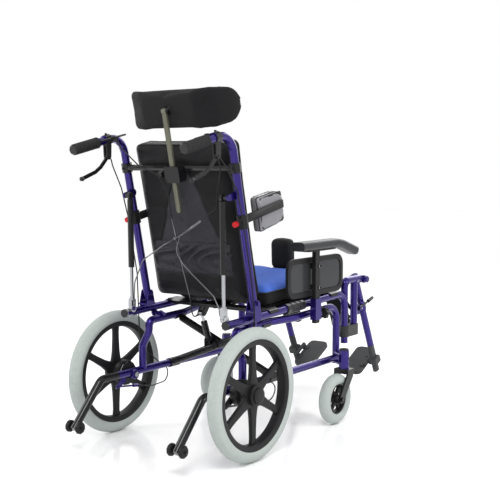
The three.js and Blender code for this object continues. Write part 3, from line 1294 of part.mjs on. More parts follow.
/** The cross bar with its cane clamps and the headrest's clamp block. */
function backBar() {
  const { caneX, barU, barOffset, barRadius, clampRadius, clampHeight } = back;
  const bore = snug(tubeRadius, sides.tube);
  const bar = crossBar(-caneX, caneX, barOffset, barU, barRadius, sides.tube);
  const clamps = [-1, 1].map((step) => collar(at(step * caneX, 0, barU), alongZ, 0, clampRadius, clampHeight));
  const screws = [-1, 1].map((step) => rod(
    at(step * caneX, 0, barU), at(step * caneX, clampRadius + bolt.headHeight, barU), bolt.radius, 6,
  ));
  const canes = [-1, 1].map((step) => collar(at(step * caneX, 0, barU), alongZ, 0, bore, 2 * clampHeight));
  return join(cut(join(bar, clamps, screws), canes), headrestClamp());
}

/** The block on the bar that the headrest stem slides in, with its hand screw. */
function headrestClamp() {
  const { blockHalf, blockHeight, blockU, blockFront, blockRear, stemWidth, stemThickness, stemOffset } = headrest;
  const body = plate(
    rectangle(-blockHalf, blockHalf, blockU - blockHeight / 2, blockU + blockHeight / 2, bolt.headRadius), 'xz',
    blockFront, blockRear - blockFront, 3,
  );
  const slot = block(
    -stemWidth / 2 - clearance, stemWidth / 2 + clearance,
    stemOffset - stemThickness / 2 - clearance, stemOffset + stemThickness / 2 + clearance,
    blockU - blockHeight, blockU + blockHeight,
  );
  const screwEnd = blockHalf + headrest.knobLength;
  const screw = join(
    crossBar(blockHalf - weld, screwEnd, stemOffset, blockU, headrest.screwRadius),
    crossBar(screwEnd - weld, screwEnd + headrest.knobLength, stemOffset, blockU, headrest.knobRadius, sides.fine),
  );
  return join(cut(body, slot), screw);
}

/** The back cushion, with the outline of its rear pocket. */
function backCushionPiece() {
  const { halfWidth, footU, topU, front, rear, crown, pull, edge, pocketDepth } = backCushion;
  const form = (point) => at(point.x, (front + rear) / 2 - point.z, point.y + (footU + topU) / 2);
  const body = padded({
    width: 2 * halfWidth, depth: topU - footU, height: rear - front, edge, crown, pull, cells: [7, 8, 3], form,
  });
  const groove = plate(rectangle(
    -backCushion.pocketHalf, backCushion.pocketHalf, backCushion.pocketTopU, backCushion.pocketTopU + pocketDepth,
  ), 'xz', rear - pocketDepth / 2, pocketDepth);
  return cut(body, groove);
}

/** The ribbed grips on the ends of the canes, closed at their rear. */
function pushGrip() {
  const { length, radius, rings, groove, endCap } = grip;
  const start = back.handleLength - length;
  const end = back.handleLength + clearance;
  const pitch = length / rings;
  const outside = [];
  for (let i = 0; i < rings; i++) {
    const from = start + i * pitch;
    outside.push([radius, from], [radius, from + pitch * (4 / 5)], [radius - groove, from + pitch * (9 / 10)]);
  }
  const profile = [[0, start], ...outside, [radius, end], [radius - endCap, end + endCap], [0, end + endCap]];
  return turned(profile, onHandle(0), handleWay, sides.tube);
}

/** The clamp round the handle with the brake lever's cheeks and the release lever's post. */
function leverClamp() {
  const { clampAt, clampLength, clampRadius, cheekThickness, cheekGap, cheekRadius } = lever;
  const x = back.caneX;
  const centre = onHandle(clampAt);
  const band = collar(centre, handleWay, 0, clampRadius, clampLength);
  const pivotW = back.cornerU - lever.pivotDrop;
  const side = belt([clampAt, back.cornerU - tubeRadius, cheekRadius], [lever.pivotAt, pivotW, lever.eyeRadius]);
  const cheeks = [-1, 1].map((step) => cheek(
    x + (step * cheekGap) / 2, x + step * (cheekGap / 2 + cheekThickness), side,
  ));
  const reach = cheekGap / 2 + cheekThickness + weld;
  const pin = crossBar(x - reach, x + reach, lever.pivotAt, pivotW, lever.pinRadius);
  const shelfFoot = centre.z - lever.padThickness / 2;
  const shelf = block(
    lever.releaseX - lever.padHalf, x, lever.releaseAt - lever.padHalf, lever.releaseAt + lever.padHalf,
    shelfFoot, shelfFoot + lever.padThickness,
  );
  const bladeFoot = shelfFoot + lever.padThickness + clearance;
  const bladeTop = bladeFoot + lever.releaseThickness + clearance;
  const post = join(
    rod(at(lever.releaseX, lever.releaseAt, shelfFoot), at(lever.releaseX, lever.releaseAt, bladeTop + weld),
      lever.postRadius),
    rod(at(lever.releaseX, lever.releaseAt, bladeTop), at(lever.releaseX, lever.releaseAt,
      bladeTop + lever.postHeadHeight), lever.postHead, sides.tube),
  );
  const screw = rod(at(x, clampAt, centre.z), at(x, clampAt, centre.z + clampRadius + bolt.headHeight), bolt.radius, 6);
  return join(band, cheeks, shelf, screw, pin, post);
}

/** The brake lever round its pivot at the origin: an eye, a curved blade and a ball end. */
function brakeLever() {
  const { bladeThickness, bladeDepth, eyeRadius, pinRadius, ballRadius } = lever;
  const knee = at(0, lever.kneeAt - lever.pivotAt, lever.pivotDrop - lever.kneeDrop);
  const tip = at(0, lever.tipAt - lever.pivotAt, lever.pivotDrop - lever.tipDrop);
  const section = rectangle(
    -bladeThickness / 2, bladeThickness / 2, -bladeDepth / 2, bladeDepth / 2, bladeThickness / 3,
  );
  const blade = swept(section, [[at(0, 0, 0)], [knee, lever.bend], [tip]], 2);
  const half = bladeThickness / 2;
  const eye = crossBar(-half, half, 0, 0, eyeRadius, sides.tube);
  const ball = toSolid(new THREE.SphereGeometry(ballRadius, sides.thin, sides.fine),
    new THREE.Matrix4().makeTranslation(tip.x, tip.y, tip.z));
  return cut(join(eye, blade, ball), crossHole(-half, half, 0, 0, pinRadius));
}

/** The release lever round its post at the origin: a flat blade with a thumb end. */
function releaseLever() {
  const { releaseAt, releaseFront, releaseRear, releaseHalf, releaseTip, releaseThickness, postRadius } = lever;
  const front = belt([0, 0, releaseHalf], [0, releaseFront - releaseAt, releaseTip]);
  const rear = belt([0, 0, releaseHalf], [0, releaseRear - releaseAt, releaseTip + weld]);
  const blade = join(plate(front, 'xy', 0, releaseThickness, 3), plate(rear, 'xy', 0, releaseThickness, 3));
  const hole = collar(at(0, 0, 0), alongZ, 0, around(postRadius, sides.tube), 4 * releaseThickness);
  return cut(blade, hole);
}

/** The flat stem of the headrest. */
function headrestStem() {
  const { stemWidth, stemThickness, stemOffset, stemFootU, stemTopU, hingeU, hingeRadius } = headrest;
  const stem = plate(
    rectangle(-stemWidth / 2, stemWidth / 2, stemFootU, stemTopU, stemWidth / 3), 'xz',
    stemOffset - stemThickness / 2, stemThickness,
  );
  const eye = crossBar(-stemWidth / 2, stemWidth / 2, stemOffset, hingeU, headrest.hingeEye, sides.tube);
  return cut(join(stem, eye), crossHole(-stemWidth / 2, stemWidth / 2, stemOffset, hingeU, hingeRadius));
}

/** The headrest pad with its two wings, its back plate and the hinge on the stem. */
function headrestPad() {
  const { padHalf, padFootU, padTopU, padFront, padRear, wing, wingWidth, padEdge, crown } = headrest;
  const form = (point) => {
    const beyond = Math.max(0, Math.abs(point.x) - (padHalf - wingWidth)) / wingWidth;
    const forward = wing * beyond ** 2;
    return at(
      point.x, (padFront + padRear) / 2 - point.z - forward, point.y + (padFootU + padTopU) / 2,
    );
  };
  const pad = padded({
    width: 2 * padHalf, depth: padTopU - padFootU, height: padRear - padFront, edge: padEdge, crown,
    cells: [10, 4, 2], form,
  });
  const { plateHalf, plateHeight, plateThickness, earHalf, hingeRadius, hingeU, stemOffset, stemWidth } = headrest;
  const sheet = plate(
    rectangle(-plateHalf, plateHalf, hingeU - plateHeight / 2, hingeU + plateHeight / 2, bolt.headRadius), 'xz',
    padRear - weld, plateThickness + weld, 3,
  );
  const earInner = stemWidth / 2 + clearance;
  const side = belt([padRear + plateThickness - weld, hingeU, earHalf], [stemOffset, hingeU, headrest.hingeEye]);
  const ears = [-1, 1].map((step) => cheek(step * earInner, step * (earInner + bolt.radius), side));
  const pinReach = earInner + bolt.radius + weld;
  return join(pad, sheet, ears, crossBar(-pinReach, pinReach, stemOffset, hingeU, hingeRadius));
}

/** A lateral support: clamp ring that turns on the cane's bush, arm, pad and the red hand screw. */
function lateralSupport() {
  const { ringU, ringHeight, armX, armThickness, armHeight, armFront, padInnerX, padOuterX } = lateral;
  const { padRear, padFront, padFootU, padTopU, padEdge, crown, pull } = lateral;
  const x = back.caneX;
  const bore = around(tubeRadius + lateral.bushWall, sides.bush);
  const band = collar(at(x, 0, ringU), alongZ, 0, back.clampRadius, ringHeight);
  const arm = cheek(armX - armThickness / 2, armX + armThickness / 2, rectangle(
    armFront, -tubeRadius, ringU - armHeight / 2, ringU + armHeight / 2, armThickness,
  ));
  const padMiddle = at((padInnerX + padOuterX) / 2, (padRear + padFront) / 2, (padFootU + padTopU) / 2);
  const form = (point) => at(padMiddle.x - point.z, padMiddle.y + point.x, padMiddle.z + point.y);
  const pad = padded({
    width: padRear - padFront, depth: padTopU - padFootU, height: padOuterX - padInnerX, edge: padEdge, crown, pull,
    cells: [4, 4, 2], form,
  });
  const boss = crossBar(padOuterX - weld, armX, padMiddle.y, ringU, lateral.bossRadius, sides.tube);
  const screwEnd = back.clampRadius + lateral.screwReach;
  const screw = join(
    rod(at(x, bore, ringU), at(x, screwEnd, ringU), lateral.screwRadius, sides.fine),
    rod(at(x, screwEnd - weld, ringU), at(x, screwEnd + lateral.knobLength, ringU), lateral.knobRadius, sides.thin),
  );
  const hole = collar(at(x, 0, ringU), alongZ, 0, bore, 2 * ringHeight, sides.bush);
  return cut(join(band, arm, pad, boss, screw), hole);
}

// Recline struts: the rods stand on the seat rails and the cylinders hang from the canes

const reclineLength = Math.hypot(back.strutLugY - recline.bottomY, back.strutLugZ - recline.bottomZ);

/** A recline rod with its release head round the lower pin at the origin. */
function reclineRod() {
  const half = recline.headWidth / 2;
  const head = join(
    crossBar(-half, half, 0, 0, recline.headRadius, sides.tube),
    block(-half, half, -recline.headRadius + weld, recline.headRadius - weld, 0, recline.headLength),
    rod(at(0, 0, recline.headLength - weld), at(0, 0, recline.headLength + recline.collarLength),
      recline.collarRadius, sides.thin, recline.rodRadius + weld),
  );
  const shaft = rod(at(0, 0, recline.headLength), at(0, 0, recline.rodEnd), recline.rodRadius);
  return cut(join(head, shaft), crossHole(-half, half, 0, 0, recline.pinRadius));
}

/** A recline cylinder with its bore and the upper eye that is open round the cane's pin. */
function reclineCylinder() {
  const half = recline.eyeWidth / 2;
  const body = rod(at(0, 0, recline.bodyStart), at(0, 0, recline.bodyEnd), recline.bodyRadius, sides.tube);
  const eye = crossBar(-half, half, 0, reclineLength, recline.eyeRadius, sides.tube);
  const bore = rod(at(0, 0, recline.bodyStart - overrun), at(0, 0, recline.boreEnd), around(recline.rodRadius, sides.thin));
  return cut(join(body, eye), bore, crossHole(-half, half, 0, reclineLength, recline.pinRadius + recline.openSlack));
}

// The scene graph

/** A cable of the given radius through its points, with a ferrule on each end. */
function cord(points, startFerrule = true, endFerrule = true) {
  const last = points.length - 1;
  const corners = points.map((point, i) => (i === 0 || i === last ? [point] : [point, cable.bend]));
  const ferrule = (end, next) => rod(
    end, end.clone().addScaledVector(next.clone().sub(end).normalize(), cable.ferruleLength),
    cable.ferruleRadius, sides.fine,
  );
  return join(
    tube(corners, cable.radius, cable.sides),
    startFerrule ? ferrule(points[0], points[1]) : [],
    endFerrule ? ferrule(points[last], points[last - 1]) : [],
  );
}

// Routes on the back, chosen by hand: across, behind the canes, and up along them.
const releaseY = lever.releaseAt - (lever.releaseFront * 3) / 4;
const releaseZ = onHandle(lever.clampAt).z + lever.padThickness / 2;
const headX = recline.x - recline.headWidth / 2 - clearance - cable.ferruleRadius;
const reclineRoute = [
  at(headX, 112, -6), at(170, 97, 70), at(135, 80, 141), at(57, 58, 188), at(-21, 49, 224), at(-98, 48, 268),
  at(-164, 45, 309), at(-168, 36, 362), at(-186, 28, 430), at(-recline.x, releaseY, releaseZ - cable.bend),
  at(-recline.x, releaseY, releaseZ),
];
const branchRoute = [
  at(-8, 50, 218), at(18, 50, 168), at(-3, 54, 132), at(-46, 64, 102), at(-143, 92, 49), at(-170, 106, 15),
  at(-headX, 112, -6),
];
const tiltRoute = [
  at(recline.x, releaseY, releaseZ), at(recline.x, releaseY, releaseZ - cable.bend), at(120, 47, 436),
  at(45, 46, 408), at(17, 46, 342),
  at(20, 46, 288), at(12, 46, 209), at(4, 46, 112), at(-8, 46, 20), at(0, 38, -43), at(24, 2, -66),
  at(brace.strutX, -31, -71),
];

/** The forked recline cable and the tilt cable, tied where they cross behind the back. */
function releaseCables() {
  const adjuster = rod(reclineRoute[4], reclineRoute[5], cable.adjusterRadius, sides.fine);
  const crossing = tiltRoute[6];
  const tie = rod(
    at(crossing.x, crossing.y - cable.tieRadius, crossing.z), at(crossing.x, crossing.y + 2 * cable.tieRadius, crossing.z),
    cable.tieRadius, sides.fine,
  );
  return join(
    cord(reclineRoute, true, false), cord(branchRoute, false), cord(tiltRoute, false), adjuster, tie,
  );
}

// The brake cable's route from the push handle down the cane and round to the drum brake.
const brakeRoute = [
  at(218, 73, 893), at(226, 58, 872), at(233, 12, 800), at(233, -19, 700), at(234, -58, 520), at(238, -66, 430),
  at(237, -70, 320), at(228, -76, 268), at(226, -158, 208), at(225, -204, 178), at(221, -180, 142),
  at(brakeBarrel.x, -110, 139), brakeBarrel,
];

/** A nested group at a place, leaning about X by an angle in radians. */
function addGroup(parent, x, y, z, lean = 0) {
  const group = new THREE.Group();
  group.position.set(x, y, z);
  group.rotation.x = lean;
  parent.add(group);
  return group;
}

function addBase(chair) {
  addPair(chair, 'side_frame', sideFrame(), violet);
  addPiece(chair, 'cross_brace', crossBrace(), blackPaint);
  addPair(chair, 'anti_tip_tube', antiTipTube(), blackPaint);
  addPair(chair, 'anti_tip_wheels', antiTipWheels(), blackPlastic, base.railX, antiTip.axleY, antiTip.axleZ);
}

function addWheels(chair) {
  addPair(chair, 'rear_rim', rearRim(), blackPlastic, wheel.planeX, 0, axleZ);
  addPair(chair, 'rear_tyre', rearTyre(), greyTyre, wheel.planeX, 0, axleZ);
  addPair(chair, 'caster_fork', casterFork(), blackPaint, caster.headX, caster.headY, 0);
  addPair(chair, 'caster_wheel', casterWheel(), greyTyre, caster.headX, caster.headY + caster.trail, caster.radius);
}

function addSeat(chair) {
  addPair(chair, 'seat_rail', seatRailFrame(), violet);
  const deck = addGroup(chair, 0, tilt.pivotY, seatRailZ(tilt.pivotY), -Math.atan(seatRail.slope));
  addPiece(deck, 'seat_pan', seatPan(), blackPaint);
  addPiece(deck, 'seat_cushion', seatCushion(), seatFabric);
  addPiece(deck, 'pommel', pommelPiece(), nylon);
  const strutLean = Math.atan2(strut.bottomY - strut.topY, strut.topZ - strut.bottomZ);
  const strutGroup = addGroup(chair, brace.strutX, strut.bottomY, strut.bottomZ, strutLean);
  addPiece(strutGroup, 'tilt_cylinder', tiltCylinder(), blackPaint);
  addPiece(strutGroup, 'tilt_rod', tiltRod(), silver);
}

function addArmrests(chair) {
  addPair(chair, 'armrest_frame', join(armrestPost(), sidePanel()), blackPaint);
  addPair(chair, 'armrest_pad', armrestPad(), padSkin);
  addPair(chair, 'armrest_knob', armrestKnob(), blackPlastic, armrest.postX, armrest.knobRearY, armrest.knobZ);
}

function addLegrests(chair) {
  addPair(chair, 'legrest_hanger', legrestHanger(), violet);
  addPair(
    chair, 'elevation_lever', elevationLeverPiece(), silver, base.railX, hanger.leverY, hanger.leverZ,
  );
  const shank = addGroup(chair, 0, hanger.kneeY, hanger.kneeZ, -toRadians(leg.angle));
  addPair(shank, 'leg_tube', legTube(), violet, leg.x);
  addPair(shank, 'leg_extension', legExtension(), greyMetal, leg.x);
  addPair(shank, 'calf_pad', calfPadPiece(), nylon, calfPad.x, 0, -leg.armAt);
  const foot = addGroup(shank, 0, 0, -leg.hingeAt, footTurn);
  addPair(foot, 'footplate', footplatePiece(), greyPlastic, leg.pinX);
}

function addBack(chair) {
  const frame = addGroup(chair, 0, back.pivotY, back.pivotZ, -toRadians(back.angle));
  addPair(frame, 'back_cane', backCane(), violet);
  addPiece(frame, 'back_bar', backBar(), blackPaint);
  addPiece(frame, 'back_cushion', backCushionPiece(), nylon);
  addPair(frame, 'brake_lever', brakeLever(), silver, back.caneX, lever.pivotAt, back.cornerU - lever.pivotDrop);
  const bladeFoot = onHandle(lever.clampAt).z + lever.padThickness / 2 + clearance;
  addPair(frame, 'release_lever', releaseLever(), blackPlastic, lever.releaseX, lever.releaseAt, bladeFoot);
  addPiece(frame, 'headrest_stem', headrestStem(), olive);
  addPiece(frame, 'headrest_pad', headrestPad(), nylon);
  addPair(frame, 'lateral_support', lateralSupport(), greyPlastic);
  addPiece(frame, 'release_cables', releaseCables(), silver);
  addPair(chair, 'brake_cable', cord(brakeRoute, false), blackPlastic);
}

function addReclineStruts(chair) {
  const lean = -Math.atan2(back.strutLugY - recline.bottomY, back.strutLugZ - recline.bottomZ);
  const stand = addGroup(chair, 0, recline.bottomY, recline.bottomZ, lean);
  addPair(stand, 'recline_rod', reclineRod(), silver, recline.x);
  addPair(stand, 'recline_cylinder', reclineCylinder(), blackPaint, recline.x);
}

const chair = new THREE.Group();
addBase(chair);
addWheels(chair);
addSeat(chair);
addArmrests(chair);
addLegrests(chair);
addBack(chair);
addReclineStruts(chair);

const bounds = new THREE.Box3().setFromObject(chair);
chair.position.y = -(bounds.min.y + bounds.max.y) / 2;
chair.updateMatrixWorld(true);

export default chair;
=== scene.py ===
"""A tilt in space wheelchair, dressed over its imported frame.

Every length is in metres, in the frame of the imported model: +Z is up, the
sitter faces -Y and +X is the sitter's left. Places are written from the rear
axle's line, as the frame's sizes are, and Place.shift moves them to the
model's own origin.
"""
from __future__ import annotations

import logging
import math
from dataclasses import dataclass, field
from enum import Enum
from typing import Callable, Iterable, Sequence
import bmesh  # noqa: E402
import bpy  # noqa: E402
from mathutils import Matrix, Vector, noise  # noqa: E402


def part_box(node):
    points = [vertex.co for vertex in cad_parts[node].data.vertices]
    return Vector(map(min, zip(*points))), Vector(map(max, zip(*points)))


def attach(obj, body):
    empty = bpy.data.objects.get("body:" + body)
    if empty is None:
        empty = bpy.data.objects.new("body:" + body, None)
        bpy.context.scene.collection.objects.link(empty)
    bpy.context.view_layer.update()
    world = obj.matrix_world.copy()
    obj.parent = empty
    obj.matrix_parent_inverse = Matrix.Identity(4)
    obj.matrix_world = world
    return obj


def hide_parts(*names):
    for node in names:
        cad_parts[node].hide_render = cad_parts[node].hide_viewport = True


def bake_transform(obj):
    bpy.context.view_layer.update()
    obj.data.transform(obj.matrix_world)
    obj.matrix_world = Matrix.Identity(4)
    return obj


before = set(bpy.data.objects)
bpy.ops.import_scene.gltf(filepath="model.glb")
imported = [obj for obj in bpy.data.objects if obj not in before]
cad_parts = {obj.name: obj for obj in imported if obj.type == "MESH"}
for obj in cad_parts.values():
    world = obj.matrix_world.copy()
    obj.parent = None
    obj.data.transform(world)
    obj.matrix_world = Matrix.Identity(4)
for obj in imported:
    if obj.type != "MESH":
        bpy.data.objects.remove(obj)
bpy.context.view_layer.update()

log = logging.getLogger("wheelchair")
Point = Sequence[float]


class Side(Enum):
    """One side of the chair, with its sign along X."""

    LEFT = 1
    RIGHT = -1

    def node(self, name: str) -> str:
        """Return the name of this side's node or body."""
        return f"{self.name.lower()}_{name}"


class Place:
    """Turns sizes taken from the rear axle's line into the model's frame."""

    shift: float = 0.3583

    @classmethod
    def at(cls, x: float, y: float, z: float) -> Vector:
        """Return a point given in millimetres from the rear axle's line."""
        return Vector((x / 1000, y / 1000 + cls.shift, z / 1000))


@dataclass(frozen=True)
class Lean:
    """A turned group: its origin and its angle about -X, in millimetres and degrees."""

    y: float
    z: float
    angle: float

    def at(self, x: float, n: float, u: float) -> Vector:
        """Return a point of the group, n behind its plane and u up along it."""
        turn = math.radians(self.angle)
        return Place.at(
            x,
            self.y + n * math.cos(turn) + u * math.sin(turn),
            self.z - n * math.sin(turn) + u * math.cos(turn),
        )

    def normal(self) -> Vector:
        """Return the group's rearward direction."""
        turn = math.radians(self.angle)
        return Vector((0, math.cos(turn), -math.sin(turn)))

    def way(self) -> Vector:
        """Return the group's upward direction."""
        turn = math.radians(self.angle)
        return Vector((0, math.sin(turn), math.cos(turn)))


BACK = Lean(-88, 455, 12.2)


# Shader expressions


class Value:
    """A shader socket that takes part in Python expressions."""

    def __init__(self, shader: "Shader", socket: bpy.types.NodeSocket) -> None:
        """Wrap a socket of a shader."""
        self.shader = shader
        self.socket = socket

    def _math(self, operation: str, first: object, second: object = 0.0) -> "Value":
        """Add a Math node and return its output."""
        return self.shader.node(
            "ShaderNodeMath", {"operation": operation}, {0: first, 1: second}
        ).out(0)

    def __add__(self, other: object) -> "Value":
        """Return the sum."""
        return self._math("ADD", self, other)

    __radd__ = __add__

    def __sub__(self, other: object) -> "Value":
        """Return the difference."""
        return self._math("SUBTRACT", self, other)

    def __rsub__(self, other: object) -> "Value":
        """Return the reversed difference."""
        return self._math("SUBTRACT", other, self)

    def __mul__(self, other: object) -> "Value":
        """Return the product."""
        return self._math("MULTIPLY", self, other)

    __rmul__ = __mul__

    def __gt__(self, other: object) -> "Value":
        """Return 1 where this is the greater, else 0."""
        return self._math("GREATER_THAN", self, other)

    def __lt__(self, other: object) -> "Value":
        """Return 1 where this is the lesser, else 0."""
        return self._math("LESS_THAN", self, other)

    def __or__(self, other: "Value") -> "Value":
        """Return the greater of two masks."""
        return self._math("MAXIMUM", self, other)

    def __abs__(self) -> "Value":
        """Return the size without its sign."""
        return self._math("ABSOLUTE", self)

    def sine(self) -> "Value":
        """Return the sine."""
        return self._math("SINE", self)

    def angle(self, other: "Value") -> "Value":
        """Return the angle of this over another, in radians."""
        return self._math("ARCTAN2", self, other)


class Made:
    """A node that a shader has made."""

    def __init__(self, shader: "Shader", node: bpy.types.Node) -> None:
        """Keep the node with its shader."""
        self.shader = shader
        self.node = node

    def out(self, name: object = 0) -> Value:
        """Return one of the node's outputs, by name or number."""
        return Value(self.shader, self.node.outputs[name])


@dataclass(frozen=True)
class Tone:
    """A colour with its roughness and how metallic it is."""

    colour: tuple[float, float, float]
    roughness: float
    metallic: float = 0.0


class Shader:
    """A material and its nodes, written as expressions."""

    def __init__(self, name: str) -> None:
        """Start an empty material with one surface shader."""
        self.material = bpy.data.materials.new(name)
        self.material.use_nodes = True
        self.tree = self.material.node_tree
        self.tree.nodes.clear()
        self.surface = self.tree.nodes.new("ShaderNodeBsdfPrincipled")
        output = self.tree.nodes.new("ShaderNodeOutputMaterial")
        self.tree.links.new(self.surface.outputs[0], output.inputs[0])
        place = self.node("ShaderNodeTexCoord", {}, {}).out("Object")
        self.place = place
        parts = self.node("ShaderNodeSeparateXYZ", {}, {0: place})
        self.x, self.y, self.z = (parts.out(i) for i in range(3))

    def node(self, kind: str, settings: dict, inputs: dict) -> Made:
        """Make a node.

        Args:
            kind: the node's type.
            settings: its settings; "stops" are a ramp's (place, colour) pairs.
            inputs: its sockets' values or links, by name or number.

        Returns:
            The node made.
        """
        made = self.tree.nodes.new(kind)
        for key, value in settings.items():
            if key == "stops":
                ramp = made.color_ramp
                while len(ramp.elements) < len(value):
                    ramp.elements.new(0.5)
                for element, (where, colour) in zip(ramp.elements, value):
                    element.position = where
                    element.color = (*colour, 1) if len(colour) == 3 else colour
            else:
                setattr(made, key, value)
        for key, value in inputs.items():
            if isinstance(value, Value):
                self.tree.links.new(value.socket, made.inputs[key])
            else:
                made.inputs[key].default_value = value
        return Made(self, made)

    def noise(self, scale: float, detail: float = 3.0, vector: Value | None = None) -> Value:
        """Return a soft noise between 0 and 1."""
        return self.node(
            "ShaderNodeTexNoise", {}, {"Vector": vector or self.place, "Scale": scale, "Detail": detail}
        ).out(0)

    def cells(self, scale: float) -> Value:
        """Return the distance to scattered points, for grained skins."""
        return self.node("ShaderNodeTexVoronoi", {}, {"Vector": self.place, "Scale": scale}).out("Distance")

    def mix(self, factor: object, first: object, second: object) -> Value:
        """Return a colour between two."""
        as_colour = lambda c: (*c, 1) if isinstance(c, tuple) and len(c) == 3 else c
        return self.node(
            "ShaderNodeMix", {"data_type": "RGBA"}, {0: factor, 6: as_colour(first), 7: as_colour(second)}
        ).out(2)

    def feed(self, name: str, value: object) -> None:
        """Set or link one of the surface's sockets."""
        socket = self.surface.inputs[name]
        if isinstance(value, Value):
            self.tree.links.new(value.socket, socket)
        else:
            socket.default_value = (*value, 1) if isinstance(value, tuple) and len(value) == 3 else value

    def bump(self, height: Value, distance: float, strength: float = 1.0) -> None:
        """Raise the surface by a height, in metres."""
        bump = self.node(
            "ShaderNodeBump", {}, {"Height": height, "Distance": distance, "Strength": strength}
        )
        self.feed("Normal", bump.out("Normal"))

    def inside(self, low: Point, high: Point) -> Value:
        """Return a mask of a box that is the same on both sides of the chair."""
        across = abs(self.x)
        mask: Value | None = None
        for value, least, most in zip((across, self.y, self.z), low, high):
            part = (value > least) * (value < most)
            mask = part if mask is None else mask * part
        return mask

    def tone(self, base: Tone, vary: Value, zones: Iterable[tuple[Value, Tone]] = ()) -> None:
        """Colour the surface.

        Args:
            base: the tone outside every zone.
            vary: a noise that varies the roughness and the colour a little.
            zones: masks, each with the tone inside it.
        """
        dark = tuple(0.82 * c for c in base.colour)
        colour = self.mix(vary, dark, base.colour)
        roughness = base.roughness + (vary - 0.5) * 0.12
        metallic: object = base.metallic
        for mask, tone in zones:
            colour = self.mix(mask, colour, tone.colour)
            roughness = roughness + mask * (tone.roughness - base.roughness)
            metallic = mask * (tone.metallic - base.metallic) + metallic
        self.feed("Base Color", colour)
        self.feed("Roughness", roughness)
        self.feed("Metallic", metallic)


# Tones of the chair's own finishes
VIOLET = Tone((0.024, 0.011, 0.16), 0.22, 0.7)
BLACK = Tone((0.008, 0.008, 0.009), 0.25)
SOFT_BLACK = Tone((0.011, 0.011, 0.012), 0.45)
BRIGHT = Tone((0.46, 0.47, 0.49), 0.2, 1.0)
CAST = Tone((0.52, 0.53, 0.54), 0.38, 0.9)
GREY = Tone((0.045, 0.046, 0.048), 0.45)
PALE_GREY = Tone((0.42, 0.45, 0.45), 0.62)
OLIVE = Tone((0.13, 0.13, 0.095), 0.36, 0.4)
RED = Tone((0.45, 0.015, 0.02), 0.35)

Zones = Callable[[Shader], list[tuple[Value, Tone]]]


@dataclass(frozen=True)
class Finish:
    """A hard finish: its tone, its gloss coat and its grain."""

    name: str
    base: Tone
    coat: float = 0.0
    grain: float = 0.0
    grain_scale: float = 900.0
    specular: float = 0.2

    def make(self, label: str = "", zones: Zones | None = None) -> bpy.types.Material:
        """Return the finish as a material.

        Args:
            label: what the material dresses, where it has zones of its own.
            zones: gives the masks and tones of fittings fused with the piece.

        Returns:
            The material made.
        """
        shader = Shader(f"{self.name}_{label}" if label else self.name)
        vary = shader.noise(38.0, 4.0)
        shader.tone(self.base, vary, zones(shader) if zones else ())
        shader.feed("Specular IOR Level", self.specular)
        shader.feed("Coat Weight", self.coat)
        shader.feed("Coat Roughness", 0.08)
        height = shader.noise(self.grain_scale, 2.0)
        if self.grain:
            height = height + shader.cells(self.grain_scale * 1.4) * 0.8
        shader.bump(height, max(self.grain, 0.00001), 0.6)
        return shader.material


PAINT = Finish("violet_paint", VIOLET, coat=0.4)
BLACK_PAINT = Finish("black_paint", BLACK, coat=0.2)
OLIVE_PAINT = Finish("olive_paint", OLIVE, coat=0.3)
BLACK_PLASTIC = Finish("black_plastic", SOFT_BLACK, grain=0.00005)
GREY_PLASTIC = Finish("grey_plastic", GREY, grain=0.00008)
ARM_SKIN = Finish("arm_skin", Tone((0.024, 0.025, 0.027), 0.4), coat=0.15, grain=0.00006, grain_scale=600.0)
CHROME = Finish("bright_metal", BRIGHT)
CAST_METAL = Finish("cast_metal", CAST, grain=0.00006, grain_scale=500.0)
GRIP_RUBBER = Finish("grip_rubber", Tone((0.014, 0.014, 0.015), 0.62), grain=0.0001, grain_scale=700.0)


@dataclass(frozen=True)
class Rubber:
    """Grey tyre rubber with fine ribs across the tread."""

    name: str
    centre: tuple[float, float]
    radius: float
    ribs: int

    def make(self) -> bpy.types.Material:
        """Return the rubber as a material."""
        shader = Shader(self.name)
        y = shader.y - self.centre[0]
        z = shader.z - self.centre[1]
        turn = y.angle(z)
        wave = (turn * float(self.ribs)).sine()
        away = (y * y + z * z)
        tread = away > (self.radius * 0.955) ** 2
        vary = shader.noise(60.0, 4.0)
        shader.tone(Tone((0.40, 0.44, 0.42), 0.7), vary)
        shader.bump(wave * tread + shader.noise(900.0) * 0.2, 0.0005, 0.8)
        return shader.material


@dataclass(frozen=True)
class Cloth:
    """A woven cover: its threads, its sheen and a second colour in a zone."""

    name: str
    colour: tuple[float, float, float]
    thread: float = 0.0009
    roughness: float = 0.78
    sheen: float = 0.06

    def make(self, zones: Zones | None = None) -> bpy.types.Material:
        """Return the cloth as a material.

        Args:
            zones: gives the masks and tones of panels in another colour, and of painted reflections.

        Returns:
            The material made.
        """
        shader = Shader(self.name)
        step = 2 * math.pi / self.thread
        wobble = shader.noise(30.0, 2.0) * 0.6
        across = (shader.x * step + wobble).sine()
        along = ((shader.y + shader.z) * step + wobble).sine()
        weave = across * along
        folds = shader.noise(9.0, 3.0)
        shader.tone(Tone(self.colour, self.roughness), shader.noise(14.0, 5.0), zones(shader) if zones else ())
        shader.feed("Specular IOR Level", 0.12)
        shader.feed("Sheen Weight", self.sheen)
        shader.feed("Sheen Roughness", 0.5)
        shader.bump(weave * 0.25 + folds * 3.0, 0.0006, 0.7)
        return shader.material


# Meshes


def keep(mesh: bpy.types.Mesh, name: str, material: bpy.types.Material | None = None) -> bpy.types.Object:
    """Put a mesh in the scene as a piece.

    Args:
        mesh: the mesh, already in its place.
        name: the piece's name.
        material: what it is dressed in.

    Returns:
        The piece.
    """
    mesh.name = name
    piece = bpy.data.objects.new(name, mesh)
    bpy.context.scene.collection.objects.link(piece)
    if material:
        mesh.materials.clear()
        mesh.materials.append(material)
    return piece


